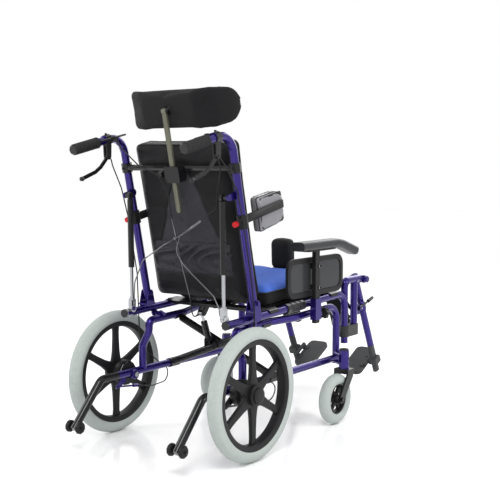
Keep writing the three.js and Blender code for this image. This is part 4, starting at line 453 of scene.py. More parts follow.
def from_bmesh(shape: bmesh.types.BMesh, smooth: bool = True) -> bpy.types.Mesh:
    """Turn a bmesh into a mesh with its faces pointing out."""
    bmesh.ops.recalc_face_normals(shape, faces=shape.faces)
    mesh = bpy.data.meshes.new("shape")
    shape.to_mesh(mesh)
    shape.free()
    for face in mesh.polygons:
        face.use_smooth = smooth
    return mesh


def sharpen(mesh: bpy.types.Mesh, degrees: float = 40.0) -> bpy.types.Mesh:
    """Keep edges sharper than an angle crisp, and the rest smooth."""
    mesh.set_sharp_from_angle(angle=math.radians(degrees))
    return mesh


def plain(piece: bpy.types.Object) -> bpy.types.Object:
    """Apply a piece's modifiers, so that it holds one plain mesh."""
    graph = bpy.context.evaluated_depsgraph_get()
    mesh = bpy.data.meshes.new_from_object(piece.evaluated_get(graph))
    if piece.type == "CURVE":
        name, materials = piece.name, list(piece.data.materials)
        bpy.data.objects.remove(piece)
        made = keep(mesh, name)
        if materials and not mesh.materials:
            mesh.materials.append(materials[0])
        return made
    piece.modifiers.clear()
    piece.data = mesh
    return piece


def lathe(profile: Sequence[tuple[float, float]], centre: Vector, axis: Vector, count: int = 96) -> bpy.types.Mesh:
    """Turn a closed profile round an axis.

    Args:
        profile: (radius, along) pairs in millimetres, in order round the section.
        centre: the axis's origin.
        axis: the axis's direction.
        count: how many steps one turn has.

    Returns:
        The mesh, with its poles merged.
    """
    axis = axis.normalized()
    side = axis.orthogonal().normalized()
    other = axis.cross(side)
    shape = bmesh.new()
    rings = []
    for step in range(count):
        turn = 2 * math.pi * step / count
        way = side * math.cos(turn) + other * math.sin(turn)
        rings.append([shape.verts.new(centre + way * (r / 1000) + axis * (a / 1000)) for r, a in profile])
    for ring, following in zip(rings, rings[1:] + rings[:1]):
        for i in range(len(profile)):
            j = (i + 1) % len(profile)
            shape.faces.new((ring[i], ring[j], following[j], following[i]))
    bmesh.ops.remove_doubles(shape, verts=shape.verts, dist=1e-6)
    bmesh.ops.dissolve_degenerate(shape, edges=shape.edges, dist=1e-7)
    return sharpen(from_bmesh(shape), 35)


def bent(corners: Sequence[tuple[Vector, float]], step: float = 8.0) -> list[Vector]:
    """Return the points of a route with rounded corners.

    Args:
        corners: the corner points, each with its bend radius in millimetres.
        step: the turn between two points of a bend, in degrees.

    Returns:
        The route's points in order.
    """
    points = [corners[0][0]]
    for (before, _), (corner, radius), (after, _) in zip(corners, corners[1:], corners[2:]):
        back, on = (before - corner).normalized(), (after - corner).normalized()
        half = back.angle(on) / 2
        if radius <= 0 or half > math.pi / 2 - 0.02:
            points.append(corner)
            continue
        reach = min(radius / 1000 / math.tan(half), (before - corner).length * 0.49, (after - corner).length * 0.49)
        true = reach * math.tan(half)
        middle = corner + (back + on).normalized() * (true / math.sin(half))
        start, turn = corner + back * reach - middle, math.pi - 2 * half
        sideways = -back * start.length
        count = max(2, round(math.degrees(turn) / step))
        points += [
            middle + start * math.cos(turn * i / count) + sideways * math.sin(turn * i / count)
            for i in range(count + 1)
        ]
    points.append(corners[-1][0])
    return points


def pipe(points: Sequence[Vector], radius: float, name: str, closed: bool = False, resolution: int = 5) -> bpy.types.Object:
    """Make a round bar along points.

    Args:
        points: the route, in metres.
        radius: the bar's radius in millimetres.
        name: the piece's name.
        closed: whether the route comes back to its start.
        resolution: how finely the section is rounded.

    Returns:
        The bar as a plain mesh piece.
    """
    curve = bpy.data.curves.new(name, "CURVE")
    curve.dimensions = "3D"
    curve.bevel_depth = radius / 1000
    curve.bevel_resolution = resolution
    curve.use_fill_caps = not closed
    spline = curve.splines.new("POLY")
    spline.points.add(len(points) - 1)
    for spot, point in zip(spline.points, points):
        spot.co = (*point, 1)
    spline.use_cyclic_u = closed
    piece = bpy.data.objects.new(name, curve)
    bpy.context.scene.collection.objects.link(piece)
    made = plain(piece)
    for face in made.data.polygons:
        face.use_smooth = True
    sharpen(made.data, 50)
    return made


def dress(node: str, material: bpy.types.Material) -> None:
    """Give a node of the frame its material."""
    piece = bpy.data.objects[node]
    if piece.material_slots:
        for slot in piece.material_slots:
            slot.material = material
    else:
        piece.data.materials.append(material)


# The tubes of the frame


@dataclass
class Tubing:
    """The round bent tubes that show over the frame's faceted ones."""

    radius: float = 12.62
    rail_x: float = 205
    rail_z: float = 206
    rail_rear: float = 70
    leg_y: float = -590
    leg_foot: float = 188
    post_y: float = -50
    hoop_x: float = 176
    hoop_rear_z: float = 370
    hoop_front_z: float = 388.5
    cane_x: float = 218
    cane_foot: float = -22
    cane_corner: float = 525
    droop: float = 13.2
    handle: float = 215
    knee: tuple[float, float] = (-765, 465)
    leg_x: float = 178
    leg_angle: float = 24.1
    leg_length: float = 285

    def hoop_z(self, y: float) -> float:
        """Return the hoop's height over a place along the rail."""
        slope = (self.hoop_front_z - self.hoop_rear_z) / (self.post_y - self.leg_y)
        return self.hoop_rear_z + slope * (self.post_y - y)

    def seat_z(self, y: float) -> float:
        """Return the seat rail's height over a place along it."""
        return 386 + 20.4 + 0.039 * (-108 - y)

    def handle_way(self) -> Vector:
        """Return the direction of a push handle."""
        turn = math.radians(self.droop)
        return Vector((0, math.cos(turn), -math.sin(turn)))

    def on_handle(self, x: float, along: float) -> Vector:
        """Return a point of a push handle, in millimetres past the cane's corner."""
        return BACK.at(x, 0, self.cane_corner) + self.handle_way() * (along / 1000)

    def routes(self, sign: int) -> dict[str, tuple[str, list[tuple[Vector, float]]]]:
        """Return each tube's body and route on one side."""
        at = Place.at
        x, rear = sign * self.rail_x, sign * self.hoop_x
        lean = Lean(*self.knee, self.leg_angle)
        hoop = [
            (at(x, self.post_y, self.rail_z), 0), (at(x, self.post_y, 285), 30),
            (at(rear, self.post_y, 335), 30), (at(rear, self.post_y, self.hoop_rear_z), 22),
            (at(rear, -225, self.hoop_z(-225)), 60), (at(x, -330, self.hoop_z(-330)), 60),
            (at(x, self.leg_y, self.hoop_front_z), 45), (at(x, self.leg_y, self.leg_foot), 0),
        ]
        side = Side(sign)
        return {
            "hoop": ("base", hoop),
            "rail": ("base", [(at(x, self.rail_rear, self.rail_z), 0), (at(x, self.leg_y, self.rail_z), 0)]),
            "seat_tube": ("seat", [
                (at(x, 31, self.seat_z(31)), 0), (at(x, -645, self.seat_z(-645)), 45), (at(x, -645, 250), 0),
            ]),
            "cane": ("back", [
                (BACK.at(sign * self.cane_x, 0, self.cane_foot), 0),
                (BACK.at(sign * self.cane_x, 0, self.cane_corner), 55),
                (self.on_handle(sign * self.cane_x, self.handle - 4), 0),
            ]),
            "anti_tip": (side.node("anti_tip"), [
                (at(x, 70.4, self.rail_z), 0), (at(x, 140, self.rail_z), 30), (at(x, 258, 73), 0),
            ]),
            "hanger_top": (side.node("legrest"), [
                (at(x, -645, 440.4), 0), (at(x, -645, 469), 24), (at(x, -751, 469), 0),
            ]),
            "hanger_drop": (side.node("legrest"), [(at(x, -710, 469), 0), (at(x, -710, 274), 0)]),
            "leg": (side.node("leg"), [
                (lean.at(sign * self.leg_x, 0, 15), 0), (lean.at(sign * self.leg_x, 0, -self.leg_length), 0),
            ]),
        }

    def build(self, paint: bpy.types.Material, black: bpy.types.Material) -> None:
        """Make every tube on both sides and the two of the cross brace."""
        for side in Side:
            for name, (body, corners) in self.routes(side.value).items():
                tube = pipe(bent(corners), self.radius, side.node(f"{name}_tube"))
                dark = name == "anti_tip"
                tube.data.materials.clear()
                tube.data.materials.append(black if dark else paint)
                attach(tube, body)
        for sign in (1, -1):
            y = -200 + 13 * sign
            top = self.hoop_z(-200) - 16
            tube = pipe(
                [Place.at(sign * self.rail_x, y, self.rail_z), Place.at(-sign * self.hoop_x, y, top)],
                self.radius, f"brace_tube_{'front' if sign < 0 else 'rear'}",
            )
            tube.data.materials.clear()
            tube.data.materials.append(black)
            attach(tube, "base")
        log.info("tubes made")


@dataclass
class Wheels:
    """The rear wheels and the casters, with their tyres."""

    rear_x: float = 279
    rear_z: float = 200
    caster_x: float = 255
    caster_y: float = -504
    caster_z: float = 85
    spokes: int = 6

    def spoked(self, centre: Vector, inner: float, outer: float, root: float, tip: float, half: float,
               start: float) -> bpy.types.Mesh:
        """Return the tapered spokes of one wheel.

        Args:
            centre: the wheel's centre.
            inner: the radius where a spoke starts, in millimetres.
            outer: the radius where it ends.
            root: its width at the hub.
            tip: its width at the rim.
            half: half its thickness.
            start: the first spoke's angle, in degrees.

        Returns:
            The spokes as one mesh.
        """
        shape = bmesh.new()
        for i in range(self.spokes):
            turn = math.radians(start + 360 * i / self.spokes)
            out, across = Vector((0, math.cos(turn), math.sin(turn))), Vector((0, -math.sin(turn), math.cos(turn)))
            rows = []
            for step in range(7):
                share = step / 6
                radius = inner + (outer - inner) * share
                flare = 1 + 0.5 * max(0.0, 1 - share * 4) + 0.45 * max(0.0, share * 5 - 4)
                width = (root + (tip - root) * share) / 2 * flare
                depth = half * (1.25 - 0.35 * share)
                section = []
                for corner in range(16):
                    a = 2 * math.pi * corner / 16
                    square = max(abs(math.cos(a)), abs(math.sin(a))) ** 0.7
                    section.append(shape.verts.new(
                        centre + out * (radius / 1000) + across * (width * math.cos(a) / square / 1000)
                        + Vector((depth * math.sin(a) / square / 1000, 0, 0))))
                rows.append(section)
            for low, high in zip(rows, rows[1:]):
                for k in range(16):
                    shape.faces.new((low[k], low[(k + 1) % 16], high[(k + 1) % 16], high[k]))
            shape.faces.new(rows[0])
            shape.faces.new(rows[-1][::-1])
        return sharpen(from_bmesh(shape), 45)

    @staticmethod
    def section(inner: float, outer: float, half: float, count: int = 22) -> list[tuple[float, float]]:
        """Return a tyre's rounded section as (radius, along) pairs."""
        middle = outer - half
        points = []
        for i in range(count + 1):
            a = -math.pi * 0.62 + math.pi * 1.24 * i / count
            points.append((middle + half * math.cos(a), half * math.sin(a)))
        seat = half * 0.62
        return [(inner, seat), (inner, -seat)] + points

    def build(self, tyre: bpy.types.Material, caster_tyre: bpy.types.Material, black: bpy.types.Material,
              grey: bpy.types.Material, bright: bpy.types.Material) -> None:
        """Make both rear wheels and both casters."""
        along = Vector((1, 0, 0))
        for side in Side:
            sign = side.value
            centre = Place.at(sign * self.rear_x, 0, self.rear_z)
            body = side.node("rear_wheel")
            band = keep(lathe(self.section(161, 200, 22), centre, along, 128), side.node("tyre_band"), tyre)
            out = along * sign
            hoop = keep(lathe([
                (147, 8), (149, 15), (153, 17.5), (166, 17.5), (168.5, 15.5), (166, 13), (160.5, 9),
                (160.5, -9), (166, -13), (168.5, -15.5), (166, -17.5), (153, -17.5), (149, -15), (147, -8),
            ], centre, along), side.node("rim_hoop"), black)
            hub = keep(lathe([
                (6.4, -49.6), (40, -49.6), (41, -46), (41, -31), (38, -27), (31, -24), (29, -14), (29, 12),
                (32, 15), (32, 19), (29, 21), (0, 21), (0, 17), (6.4, 17),
            ], centre, out, 64), side.node("wheel_hub"), black)
            cap = keep(lathe([
                (0, 21.3), (25, 21.3), (25.4, 24), (24, 27.5), (20, 29.2), (12, 30), (0, 30),
            ], centre, out, 48), side.node("hub_cap"), grey)
            arms = keep(self.spoked(centre, 27, 148.5, 30, 19, 6.4, 30), side.node("rim_spokes"), black)
            for piece in (band, hoop, hub, cap, arms):
                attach(piece, body)
            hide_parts(side.node("rear_tyre"))
            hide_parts(side.node("rear_rim"))
            self.caster(side, caster_tyre, black, bright)
        log.info("wheels made")

    def caster(self, side: Side, tyre: bpy.types.Material, black: bpy.types.Material,
               bright: bpy.types.Material) -> None:
        """Make one caster wheel."""
        along = Vector((1, 0, 0))
        centre = Place.at(side.value * self.caster_x, self.caster_y, self.caster_z)
        band = keep(lathe(self.section(50.5, 85, 20), centre, along, 96), side.node("caster_tyre"), tyre)
        hoop = keep(lathe([
            (43, 7), (45, 11.5), (50, 12.5), (52, 11), (52, -11), (50, -12.5), (45, -11.5), (43, -7),
        ], centre, along, 72), side.node("caster_rim"), black)
        hub = keep(lathe([
            (4.4, -21.5), (14, -21.5), (15, -20), (15, 20), (14, 21.5), (4.4, 21.5),
        ], centre, along, 40), side.node("caster_hub"), black)
        arms = keep(self.spoked(centre, 13.5, 44.5, 13, 11, 4.6, 0), side.node("caster_spokes"), black)
        for piece in (band, hoop, hub, arms):
            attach(piece, side.node("caster_wheel"))
        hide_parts(side.node("caster_wheel"))


# Soft goods


@dataclass
class Softening:
    """How a pad's solid becomes a sewn, swollen cover."""

    voxel: float = 0.005
    shrink: float = 0.003
    pressure: float = 4.0
    cap: float = 0.01
    levels: int = 1
    fill: float = 0.7

    def swell(self, piece: bpy.types.Object) -> None:
        """Swell a closed pad with cloth under pressure, then smooth it."""
        start = self._remesh(piece)
        rest = [v.co.copy() for v in start.vertices]
        cloth = piece.modifiers.new("swell", "CLOTH")
        settings = cloth.settings
        settings.effector_weights.gravity = 0.0
        settings.use_pressure = True
        settings.uniform_pressure_force = self.pressure
        settings.tension_stiffness = 12
        settings.compression_stiffness = 12
        settings.bending_stiffness = 0.6
        settings.mass = 0.3
        cloth.collision_settings.use_self_collision = False
        scene = bpy.context.scene
        scene.frame_start, scene.frame_end = 1, 20
        cloth.point_cache.frame_start, cloth.point_cache.frame_end = 1, 20
        for step in range(1, 21):
            scene.frame_set(step)
        graph = bpy.context.evaluated_depsgraph_get()
        swollen = bpy.data.meshes.new_from_object(piece.evaluated_get(graph))
        piece.modifiers.clear()
        scene.frame_set(1)
        for vertex, was, now in zip(piece.data.vertices, rest, swollen.vertices):
            move = now.co - was
            if move.length > self.cap:
                move *= self.cap / move.length
            vertex.co = was + move
        bpy.data.meshes.remove(swollen)
        smooth = piece.modifiers.new("smooth", "SMOOTH")
        smooth.factor, smooth.iterations = 0.5, 4
        if self.levels:
            finer = piece.modifiers.new("finer", "SUBSURF")
            finer.levels = finer.render_levels = self.levels
        plain(piece)
        for face in piece.data.polygons:
            face.use_smooth = True

    def _remesh(self, piece: bpy.types.Object) -> bpy.types.Mesh:
        """Remesh the pad evenly, a little inside its solid."""
        shape = bmesh.new()
        shape.from_mesh(piece.data)
        bmesh.ops.remove_doubles(shape, verts=shape.verts, dist=1e-5)
        shape.to_mesh(piece.data)
        shape.free()
        remesh = piece.modifiers.new("even", "REMESH")
        remesh.mode = "VOXEL"
        remesh.voxel_size = self.voxel
        plain(piece)
        outwards = [vertex.normal.copy() for vertex in piece.data.vertices]
        for vertex, way in zip(piece.data.vertices, outwards):
            vertex.co -= way * self.shrink
        return piece.data


def keep_largest(shape: bmesh.types.BMesh) -> None:
    """Leave only the island of a mesh that has the most vertices."""
    islands: list[list[bmesh.types.BMVert]] = []
    seen: set[bmesh.types.BMVert] = set()
    for start in shape.verts:
        if start in seen:
            continue
        seen.add(start)
        island = [start]
        for vert in island:
            for edge in vert.link_edges:
                other = edge.other_vert(vert)
                if other not in seen:
                    seen.add(other)
                    island.append(other)
        islands.append(island)
    largest = max(islands, key=len)
    bmesh.ops.delete(shape, geom=[v for island in islands if island is not largest for v in island], context="VERTS")


def copy_of(node: str, name: str, place: Vector | None = None, normal: Vector | None = None) -> bpy.types.Object:
    """Copy a node's solid, or the part of it on one side of a plane.

    Args:
        node: the node copied.
        name: the new piece's name.
        place: a point of the cutting plane, if it is cut.
        normal: the side of the plane that is left out.

    Returns:
        The closed copy.
    """
    shape = bmesh.new()
    shape.from_mesh(bpy.data.objects[node].data)
    bmesh.ops.remove_doubles(shape, verts=shape.verts, dist=1e-5)
    if place is not None:
        cut = bmesh.ops.bisect_plane(
            shape, geom=[*shape.verts, *shape.edges, *shape.faces], plane_co=place, plane_no=normal,
            clear_outer=True,
        )
        rim = [edge for edge in cut["geom_cut"] if isinstance(edge, bmesh.types.BMEdge)]
        bmesh.ops.triangle_fill(shape, use_beauty=True, edges=rim)
        bmesh.ops.recalc_face_normals(shape, faces=shape.faces)
        keep_largest(shape)
    return keep(sharpen(from_bmesh(shape), 40), name)


def seam(piece: bpy.types.Object, place: Vector, normal: Vector, radius: float, name: str) -> bpy.types.Object | None:
    """Lay a piped seam round a pad where a plane cuts it.

    Args:
        piece: the pad.
        place: a point of the plane.
        normal: the plane's normal.
        radius: the piping's radius in millimetres.
        name: the seam's name.

    Returns:
        The piping, or None where the plane misses the pad.
    """
    shape = bmesh.new()
    shape.from_mesh(piece.data)
    bmesh.ops.bisect_plane(
        shape, geom=[*shape.verts, *shape.edges, *shape.faces], plane_co=place, plane_no=normal,
        clear_outer=True, clear_inner=True,
    )
    loops: list[list[Vector]] = []
    seen: set[int] = set()
    shape.verts.ensure_lookup_table()
    shape.verts.index_update()
    for start in list(shape.verts):
        if start.index in seen or not start.link_edges:
            continue
        loop, here, before = [], start, None
        while here.index not in seen:
            seen.add(here.index)
            loop.append(here.co.copy())
            onward = [e.other_vert(here) for e in here.link_edges if e.other_vert(here) is not before]
            onward = [v for v in onward if v.index not in seen]
            before = here
            if not onward:
                break
            here = onward[0]
        loops.append(loop)
    shape.free()
    if not loops:
        return None
    loop = max(loops, key=len)
    if len(loop) < 12:
        return None
    for _ in range(3):
        loop = [(loop[i - 1] + loop[i] * 2 + loop[(i + 1) % len(loop)]) / 4 for i in range(len(loop))]
    return pipe(loop, radius, name, closed=True, resolution=3)


def crease(piece: bpy.types.Object, depth: float, scale: float, low: Point, high: Point) -> None:
    """Wrinkle a pad's cover inside a box.

    Args:
        piece: the pad.
        depth: the deepest fold in millimetres.
        scale: how many folds one metre has.
        low: the box's lowest corner.
        high: the box's highest corner.
    """
    outwards = [vertex.normal.copy() for vertex in piece.data.vertices]
    for vertex, way in zip(piece.data.vertices, outwards):
        place = vertex.co
        edge = min(min(place[i] - low[i], high[i] - place[i]) for i in range(3))
        if edge <= 0:
            continue
        fade = min(1.0, edge / 0.03)
        at = Vector((place.x * scale * 0.55, place.y * scale, place.z * scale))
        fold = abs(noise.noise(at + Vector((3.1, 0.4, 7.7)))) + 0.5 * noise.noise(at * 2.3)
        vertex.co = place + way * (depth / 1000 * fade * (0.35 - fold))


def panel_half(up: float) -> float:
    """Return half the width of the back's middle panel at a height along the back."""
    return 0.022 + 0.42 * (0.42 - up)


@dataclass
class Upholstery:
    """The cushions, pads and headrest with their covers and seams."""

    black: bpy.types.Material
    seat_top: bpy.types.Material
    gloss: bpy.types.Material
    hard: bpy.types.Material
    grey: bpy.types.Material
    screw: bpy.types.Material
    seat_up: Vector = field(default_factory=lambda: Vector((0, 0.03895, 0.99924)))

    def cover(self, piece: bpy.types.Object, body: str, material: bpy.types.Material,
              nodes: Sequence[str]) -> None:
        """Dress a finished pad and hand it to the frame."""
        piece.data.materials.clear()
        piece.data.materials.append(material)
        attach(piece, body)
        if nodes:
            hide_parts(*nodes)
        log.info("%s covered", piece.name)

    def pipe_seam(self, piece: bpy.types.Object, place: Vector, normal: Vector, name: str, body: str,
                  radius: float = 2.0) -> None:
        """Lay one piped seam on a pad."""
        made = seam(piece, place, normal, radius, name)
        if made is None:
            return
        made.data.materials.clear()
        made.data.materials.append(self.hard)
        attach(made, body)

    def build(self) -> None:
        """Make every soft piece."""
        self.seat()
        self.back()
        self.head()
        self.pommel()
        for side in Side:
            self.calf(side)
            self.lateral(side)

    def seat(self) -> None:
        """Make the seat cushion and its top seam."""
        pad = copy_of("seat_cushion", "seat_pad")
        Softening(voxel=0.006, shrink=0.003, cap=0.008).swell(pad)
        place = Place.at(0, -400, Tubing().seat_z(-400) + 62)
        self.cover(pad, "seat", self.seat_top, ["seat_cushion"])
        self.pipe_seam(pad, place, self.seat_up, "seat_seam", "seat", 2.4)

    def back(self) -> None:
        """Make the back cushion, its seams and the hem of its rear pocket."""
        pad = copy_of("back_cushion", "back_pad")
        Softening(voxel=0.006, shrink=0.002, cap=0.006).swell(pad)
        low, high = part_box("back_cushion")
        crease(pad, 13.0, 9.0, (-0.18, low[1] + 0.02, low[2] + 0.02), (0.18, high[1] + 0.03, high[2] - 0.04))
        self.gather(pad)
        self.cover(pad, "back", self.gloss, ["back_cushion"])
        for n in (-22, -70):
            self.pipe_seam(pad, BACK.at(0, n, 250), BACK.normal(), f"back_seam_{'rear' if n > -40 else 'front'}", "back", 2.4)

    def gather(self, pad: bpy.types.Object) -> None:
        """Gather the rear pocket of the back cushion under its hem, and sink the seams of its panels."""
        origin, way, normal = BACK.at(0, 0, 0), BACK.way(), BACK.normal()
        outwards = [vertex.normal.dot(normal) for vertex in pad.data.vertices]
        for vertex, facing in zip(pad.data.vertices, outwards):
            up = (vertex.co - origin).dot(way)
            if facing < 0.4 or abs(vertex.co.x) > 0.16:
                continue
            slant = abs(abs(vertex.co.x) - panel_half(up)) if 0.18 < up < 0.42 else 1.0
            near = min(slant, abs(up - 0.18), abs(up - 0.08))
            vertex.co -= normal * (0.0028 * max(0.0, 1 - near / 0.005))
            if not 0.08 < up < 0.18:
                continue
            share = math.sin(math.pi * (up - 0.08) / 0.1)
            pleat = math.sin(vertex.co.x * 95 + 7 * math.sin(up * 40) + 2 * math.sin(vertex.co.x * 31))
            fade = min(1.0, (0.16 - abs(vertex.co.x)) / 0.02)
            vertex.co += normal * (0.0055 * share * fade * (pleat - 0.4))

    def head(self) -> None:
        """Make the headrest's pad with its round ends and the plate that carries it."""
        place = BACK.at(0, 10, 600)
        pad = copy_of("headrest_pad", "headrest_cushion", place, BACK.normal())
        Softening(voxel=0.005, shrink=0.002, cap=0.008).swell(pad)
        middle, up, half, curve = BACK.at(0, 0, 599.5), BACK.way(), 0.0685, 0.062
        forward = [-(vertex.co - middle).dot(BACK.normal()) for vertex in pad.data.vertices]
        tip = max(forward)
        for vertex, reach in zip(pad.data.vertices, forward):
            past = max(0.0, min(1.0, (reach - (tip - curve)) / curve))
            height = half - curve + curve * math.sqrt(1 - past * past)
            height *= 1 - 0.13 * max(0.0, (abs(vertex.co.x) - 0.14) / 0.056) ** 2
            rise = (vertex.co - middle).dot(up)
            vertex.co -= up * rise * (1 - max(height, 0.3 * half) / half)
        self.cover(pad, "headrest_pad", self.black, [])
        plate = copy_of("headrest_pad", "headrest_plate", place, -BACK.normal())
        plate.data.materials.append(self.hard)
        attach(plate, "headrest_pad")
        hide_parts("headrest_pad")

    def pommel(self) -> None:
        """Make the pommel's pad and its sliding stem."""
        place = Place.at(0, -565, 505)
        pad = copy_of("pommel", "pommel_pad", place, -self.seat_up)
        Softening(voxel=0.004, shrink=0.001, cap=0.005).swell(pad)
        self.cover(pad, "pommel", self.black, ["pommel"])
        self.pipe_seam(pad, Place.at(0, -578, 560), Vector((0, 1, 0)), "pommel_seam", "pommel", 1.8)
        stem = copy_of("pommel", "pommel_stem", place, self.seat_up)
        stem.data.materials.append(self.hard)
        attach(stem, "pommel")

    def calf(self, side: Side) -> None:
        """Make one calf pad."""
        node = side.node("calf_pad")
        pad = copy_of(node, side.node("calf_cushion"))
        Softening(voxel=0.004, shrink=0.001, cap=0.004).swell(pad)
        self.cover(pad, side.node("leg"), self.black, [node])
        low, high = (Vector(v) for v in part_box(node))
        lean = Lean(-765, 465, -24.1)
        self.pipe_seam(pad, (low + high) / 2, lean.normal(), side.node("calf_seam"), side.node("leg"), 1.6)

    def lateral(self, side: Side) -> None:
        """Make one trunk pad with its piped edges, and the arm that carries it."""
        node = side.node("lateral_support")
        sign = side.value
        place = Vector((sign * 0.2035, 0, 0))
        out = Vector((sign, 0, 0))
        pad = copy_of(node, side.node("trunk_pad"), place, out)
        Softening(voxel=0.004, shrink=0.001, cap=0.004).swell(pad)
        body = side.node("lateral")
        middle, up, half, curve = BACK.at(0, 0, 250), BACK.way(), 0.06, 0.058
        reaches = [-(vertex.co - middle).dot(BACK.normal()) for vertex in pad.data.vertices]
        for vertex, reach in zip(pad.data.vertices, reaches):
            past = max(0.0, min(1.0, (reach - (0.246 - curve)) / curve))
            height = half - curve + curve * math.sqrt(1 - past * past)
            vertex.co -= up * (vertex.co - middle).dot(up) * (1 - max(height, 0.25 * half) / half)
        self.cover(pad, body, self.grey, [node])
        for x in (179, 198):
            self.pipe_seam(pad, Vector((sign * x / 1000, 0, 0)), out, side.node(f"trunk_seam_{x}"), body, 1.7)
        arm = copy_of(node, side.node("trunk_arm"), place, -out)
        arm.data.materials.append(self.screw)
        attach(arm, body)


@dataclass
class Grips:
    """The ribbed rubber grips on the push handles."""

    start: float = 111
    length: float = 104
    radius: float = 16.3
    ribs: int = 14

    def build(self, tubing: Tubing, rubber: bpy.types.Material) -> None:
        """Make both grips."""
        profile = [(12.7, 0.0), (15.4, 0.0), (self.radius + 1.2, 2.0), (self.radius + 1.2, 7.0)]
        pitch = (self.length - 24) / self.ribs
        for i in range(self.ribs):
            along = 9 + i * pitch
            profile += [(self.radius, along), (self.radius + 0.9, along + pitch * 0.3),
                        (self.radius + 0.9, along + pitch * 0.6), (self.radius, along + pitch * 0.9)]
        end = self.length
        profile += [(self.radius + 0.6, end - 12), (self.radius + 0.6, end - 4), (15.4, end - 0.6), (12, end + 0.2),
                    (0, end + 0.2), (0, end - 3), (12.7, end - 3)]
        for side in Side:
            origin = tubing.on_handle(side.value * tubing.cane_x, self.start)
            grip = keep(lathe(profile, origin, tubing.handle_way(), 48), side.node("grip_sleeve"), rubber)
            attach(grip, "back")
        log.info("grips made")


@dataclass
class Screws:
    """The socket screws, set out by one Geometry Nodes tree."""

    radius: float = 5.2
    height: float = 3.0
    spots: dict[str, list[tuple[float, float, float]]] = field(default_factory=lambda: {
        "seat": [(235.2, -88, 455)],
        "base": [(209.2, -108, 386)],
        "armrest": [(249.1, -412, 474), (249.1, -412, 544)],
        "legrest": [(214.5, -765, 465)],
    })

    def head(self) -> bpy.types.Object:
        """Return one screw head, its axis along +Z."""
        r, h = self.radius, self.height
        mesh = lathe([
            (0, 0), (r, 0), (r, h * 0.7), (r * 0.86, h), (r * 0.5, h), (r * 0.5, h * 0.4), (0, h * 0.4),
        ], Vector(), Vector((0, 0, 1)), 18)
        return keep(mesh, "screw_head")

    def tree(self, head: bpy.types.Object, metal: bpy.types.Material) -> bpy.types.NodeTree:
        """Return the tree that sets a screw head on every point of a mesh."""
        tree = bpy.data.node_groups.new("screws_on_points", "GeometryNodeTree")
        tree.interface.new_socket("Geometry", in_out="INPUT", socket_type="NodeSocketGeometry")
        size = tree.interface.new_socket("Head size", in_out="INPUT", socket_type="NodeSocketFloat")
        size.default_value = 1.0
        tree.interface.new_socket("Geometry", in_out="OUTPUT", socket_type="NodeSocketGeometry")
        new = tree.nodes.new
        source, result = new("NodeGroupInput"), new("NodeGroupOutput")
        info = new("GeometryNodeObjectInfo")
        info.inputs["Object"].default_value = head
        normal = new("GeometryNodeInputNormal")
        align = new("FunctionNodeAlignRotationToVector")
        place = new("GeometryNodeInstanceOnPoints")
        real = new("GeometryNodeRealizeInstances")
        paint = new("GeometryNodeSetMaterial")
        paint.inputs["Material"].default_value = metal
        link = tree.links.new
        link(source.outputs[0], place.inputs["Points"])
        link(info.outputs["Geometry"], place.inputs["Instance"])
        link(normal.outputs[0], align.inputs["Vector"])
        link(align.outputs[0], place.inputs["Rotation"])
        link(source.outputs[1], place.inputs["Scale"])
        link(place.outputs[0], real.inputs[0])
        link(real.outputs[0], paint.inputs[0])
        link(paint.outputs[0], result.inputs[0])
        return tree

    def build(self, metal: bpy.types.Material) -> None:
        """Set the screws out, one plain mesh for each body."""
        head = self.head()
        tree = self.tree(head, metal)
        for name, spots in self.spots.items():
            shared = name in ("seat", "base")
            for side in Side:
                shape = bmesh.new()
                for x, y, z in spots:
                    centre = Place.at(side.value * x, y, z)
                    corners = [centre + Vector((0, dy, dz)) * 1e-5 for dy, dz in ((-1, -1), (1, -1), (0, 1))]
                    face = shape.faces.new([shape.verts.new(c) for c in corners])
                    face.normal_update()
                    if face.normal.x * side.value < 0:
                        face.normal_flip()
                mesh = bpy.data.meshes.new("spots")
                shape.to_mesh(mesh)
                shape.free()
                piece = keep(mesh, side.node(f"{name}_screws"))
                modifier = piece.modifiers.new("screws", "NODES")
                modifier.node_group = tree
                plain(piece)
                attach(piece, name if shared else side.node(name))
        bpy.data.objects.remove(head)
        log.info("screws set")


# The CAD pieces' own finishes


def side_frame_zones(shader: Shader) -> list[tuple[Value, Tone]]:
    """Return the side frame's black brake plate, cap and bright axle."""
    shift = Place.shift
    return [
        (shader.inside((0.2178, shift - 0.046, 0.13), (0.2292, shift + 0.07, 0.25)), SOFT_BLACK),
        (shader.inside((0.2294, shift - 0.02, 0.18), (0.4, shift + 0.02, 0.22)), BRIGHT),
        (shader.inside((0.235, shift - 0.6, 0.2422), (0.28, shift - 0.52, 0.26)), SOFT_BLACK),
        (shader.inside((0.16, shift - 0.02, 0.18), (0.1878, shift + 0.02, 0.22)), BRIGHT),
    ]


def seat_rail_zones(shader: Shader) -> list[tuple[Value, Tone]]:
    """Return the seat rail's grey sleeve, its end cap and its strut plate."""
    shift = Place.shift
    return [
        (shader.inside((0.18, shift - 0.3803, 0.38), (0.23, shift - 0.2757, 0.45)), SOFT_BLACK),
        (shader.inside((0.18, shift + 0.0311, 0.38), (0.23, shift + 0.06, 0.43)), SOFT_BLACK),
        (shader.inside((0.18, shift + 0.0, 0.38), (0.2, shift + 0.031, 0.44)), CAST),
    ]


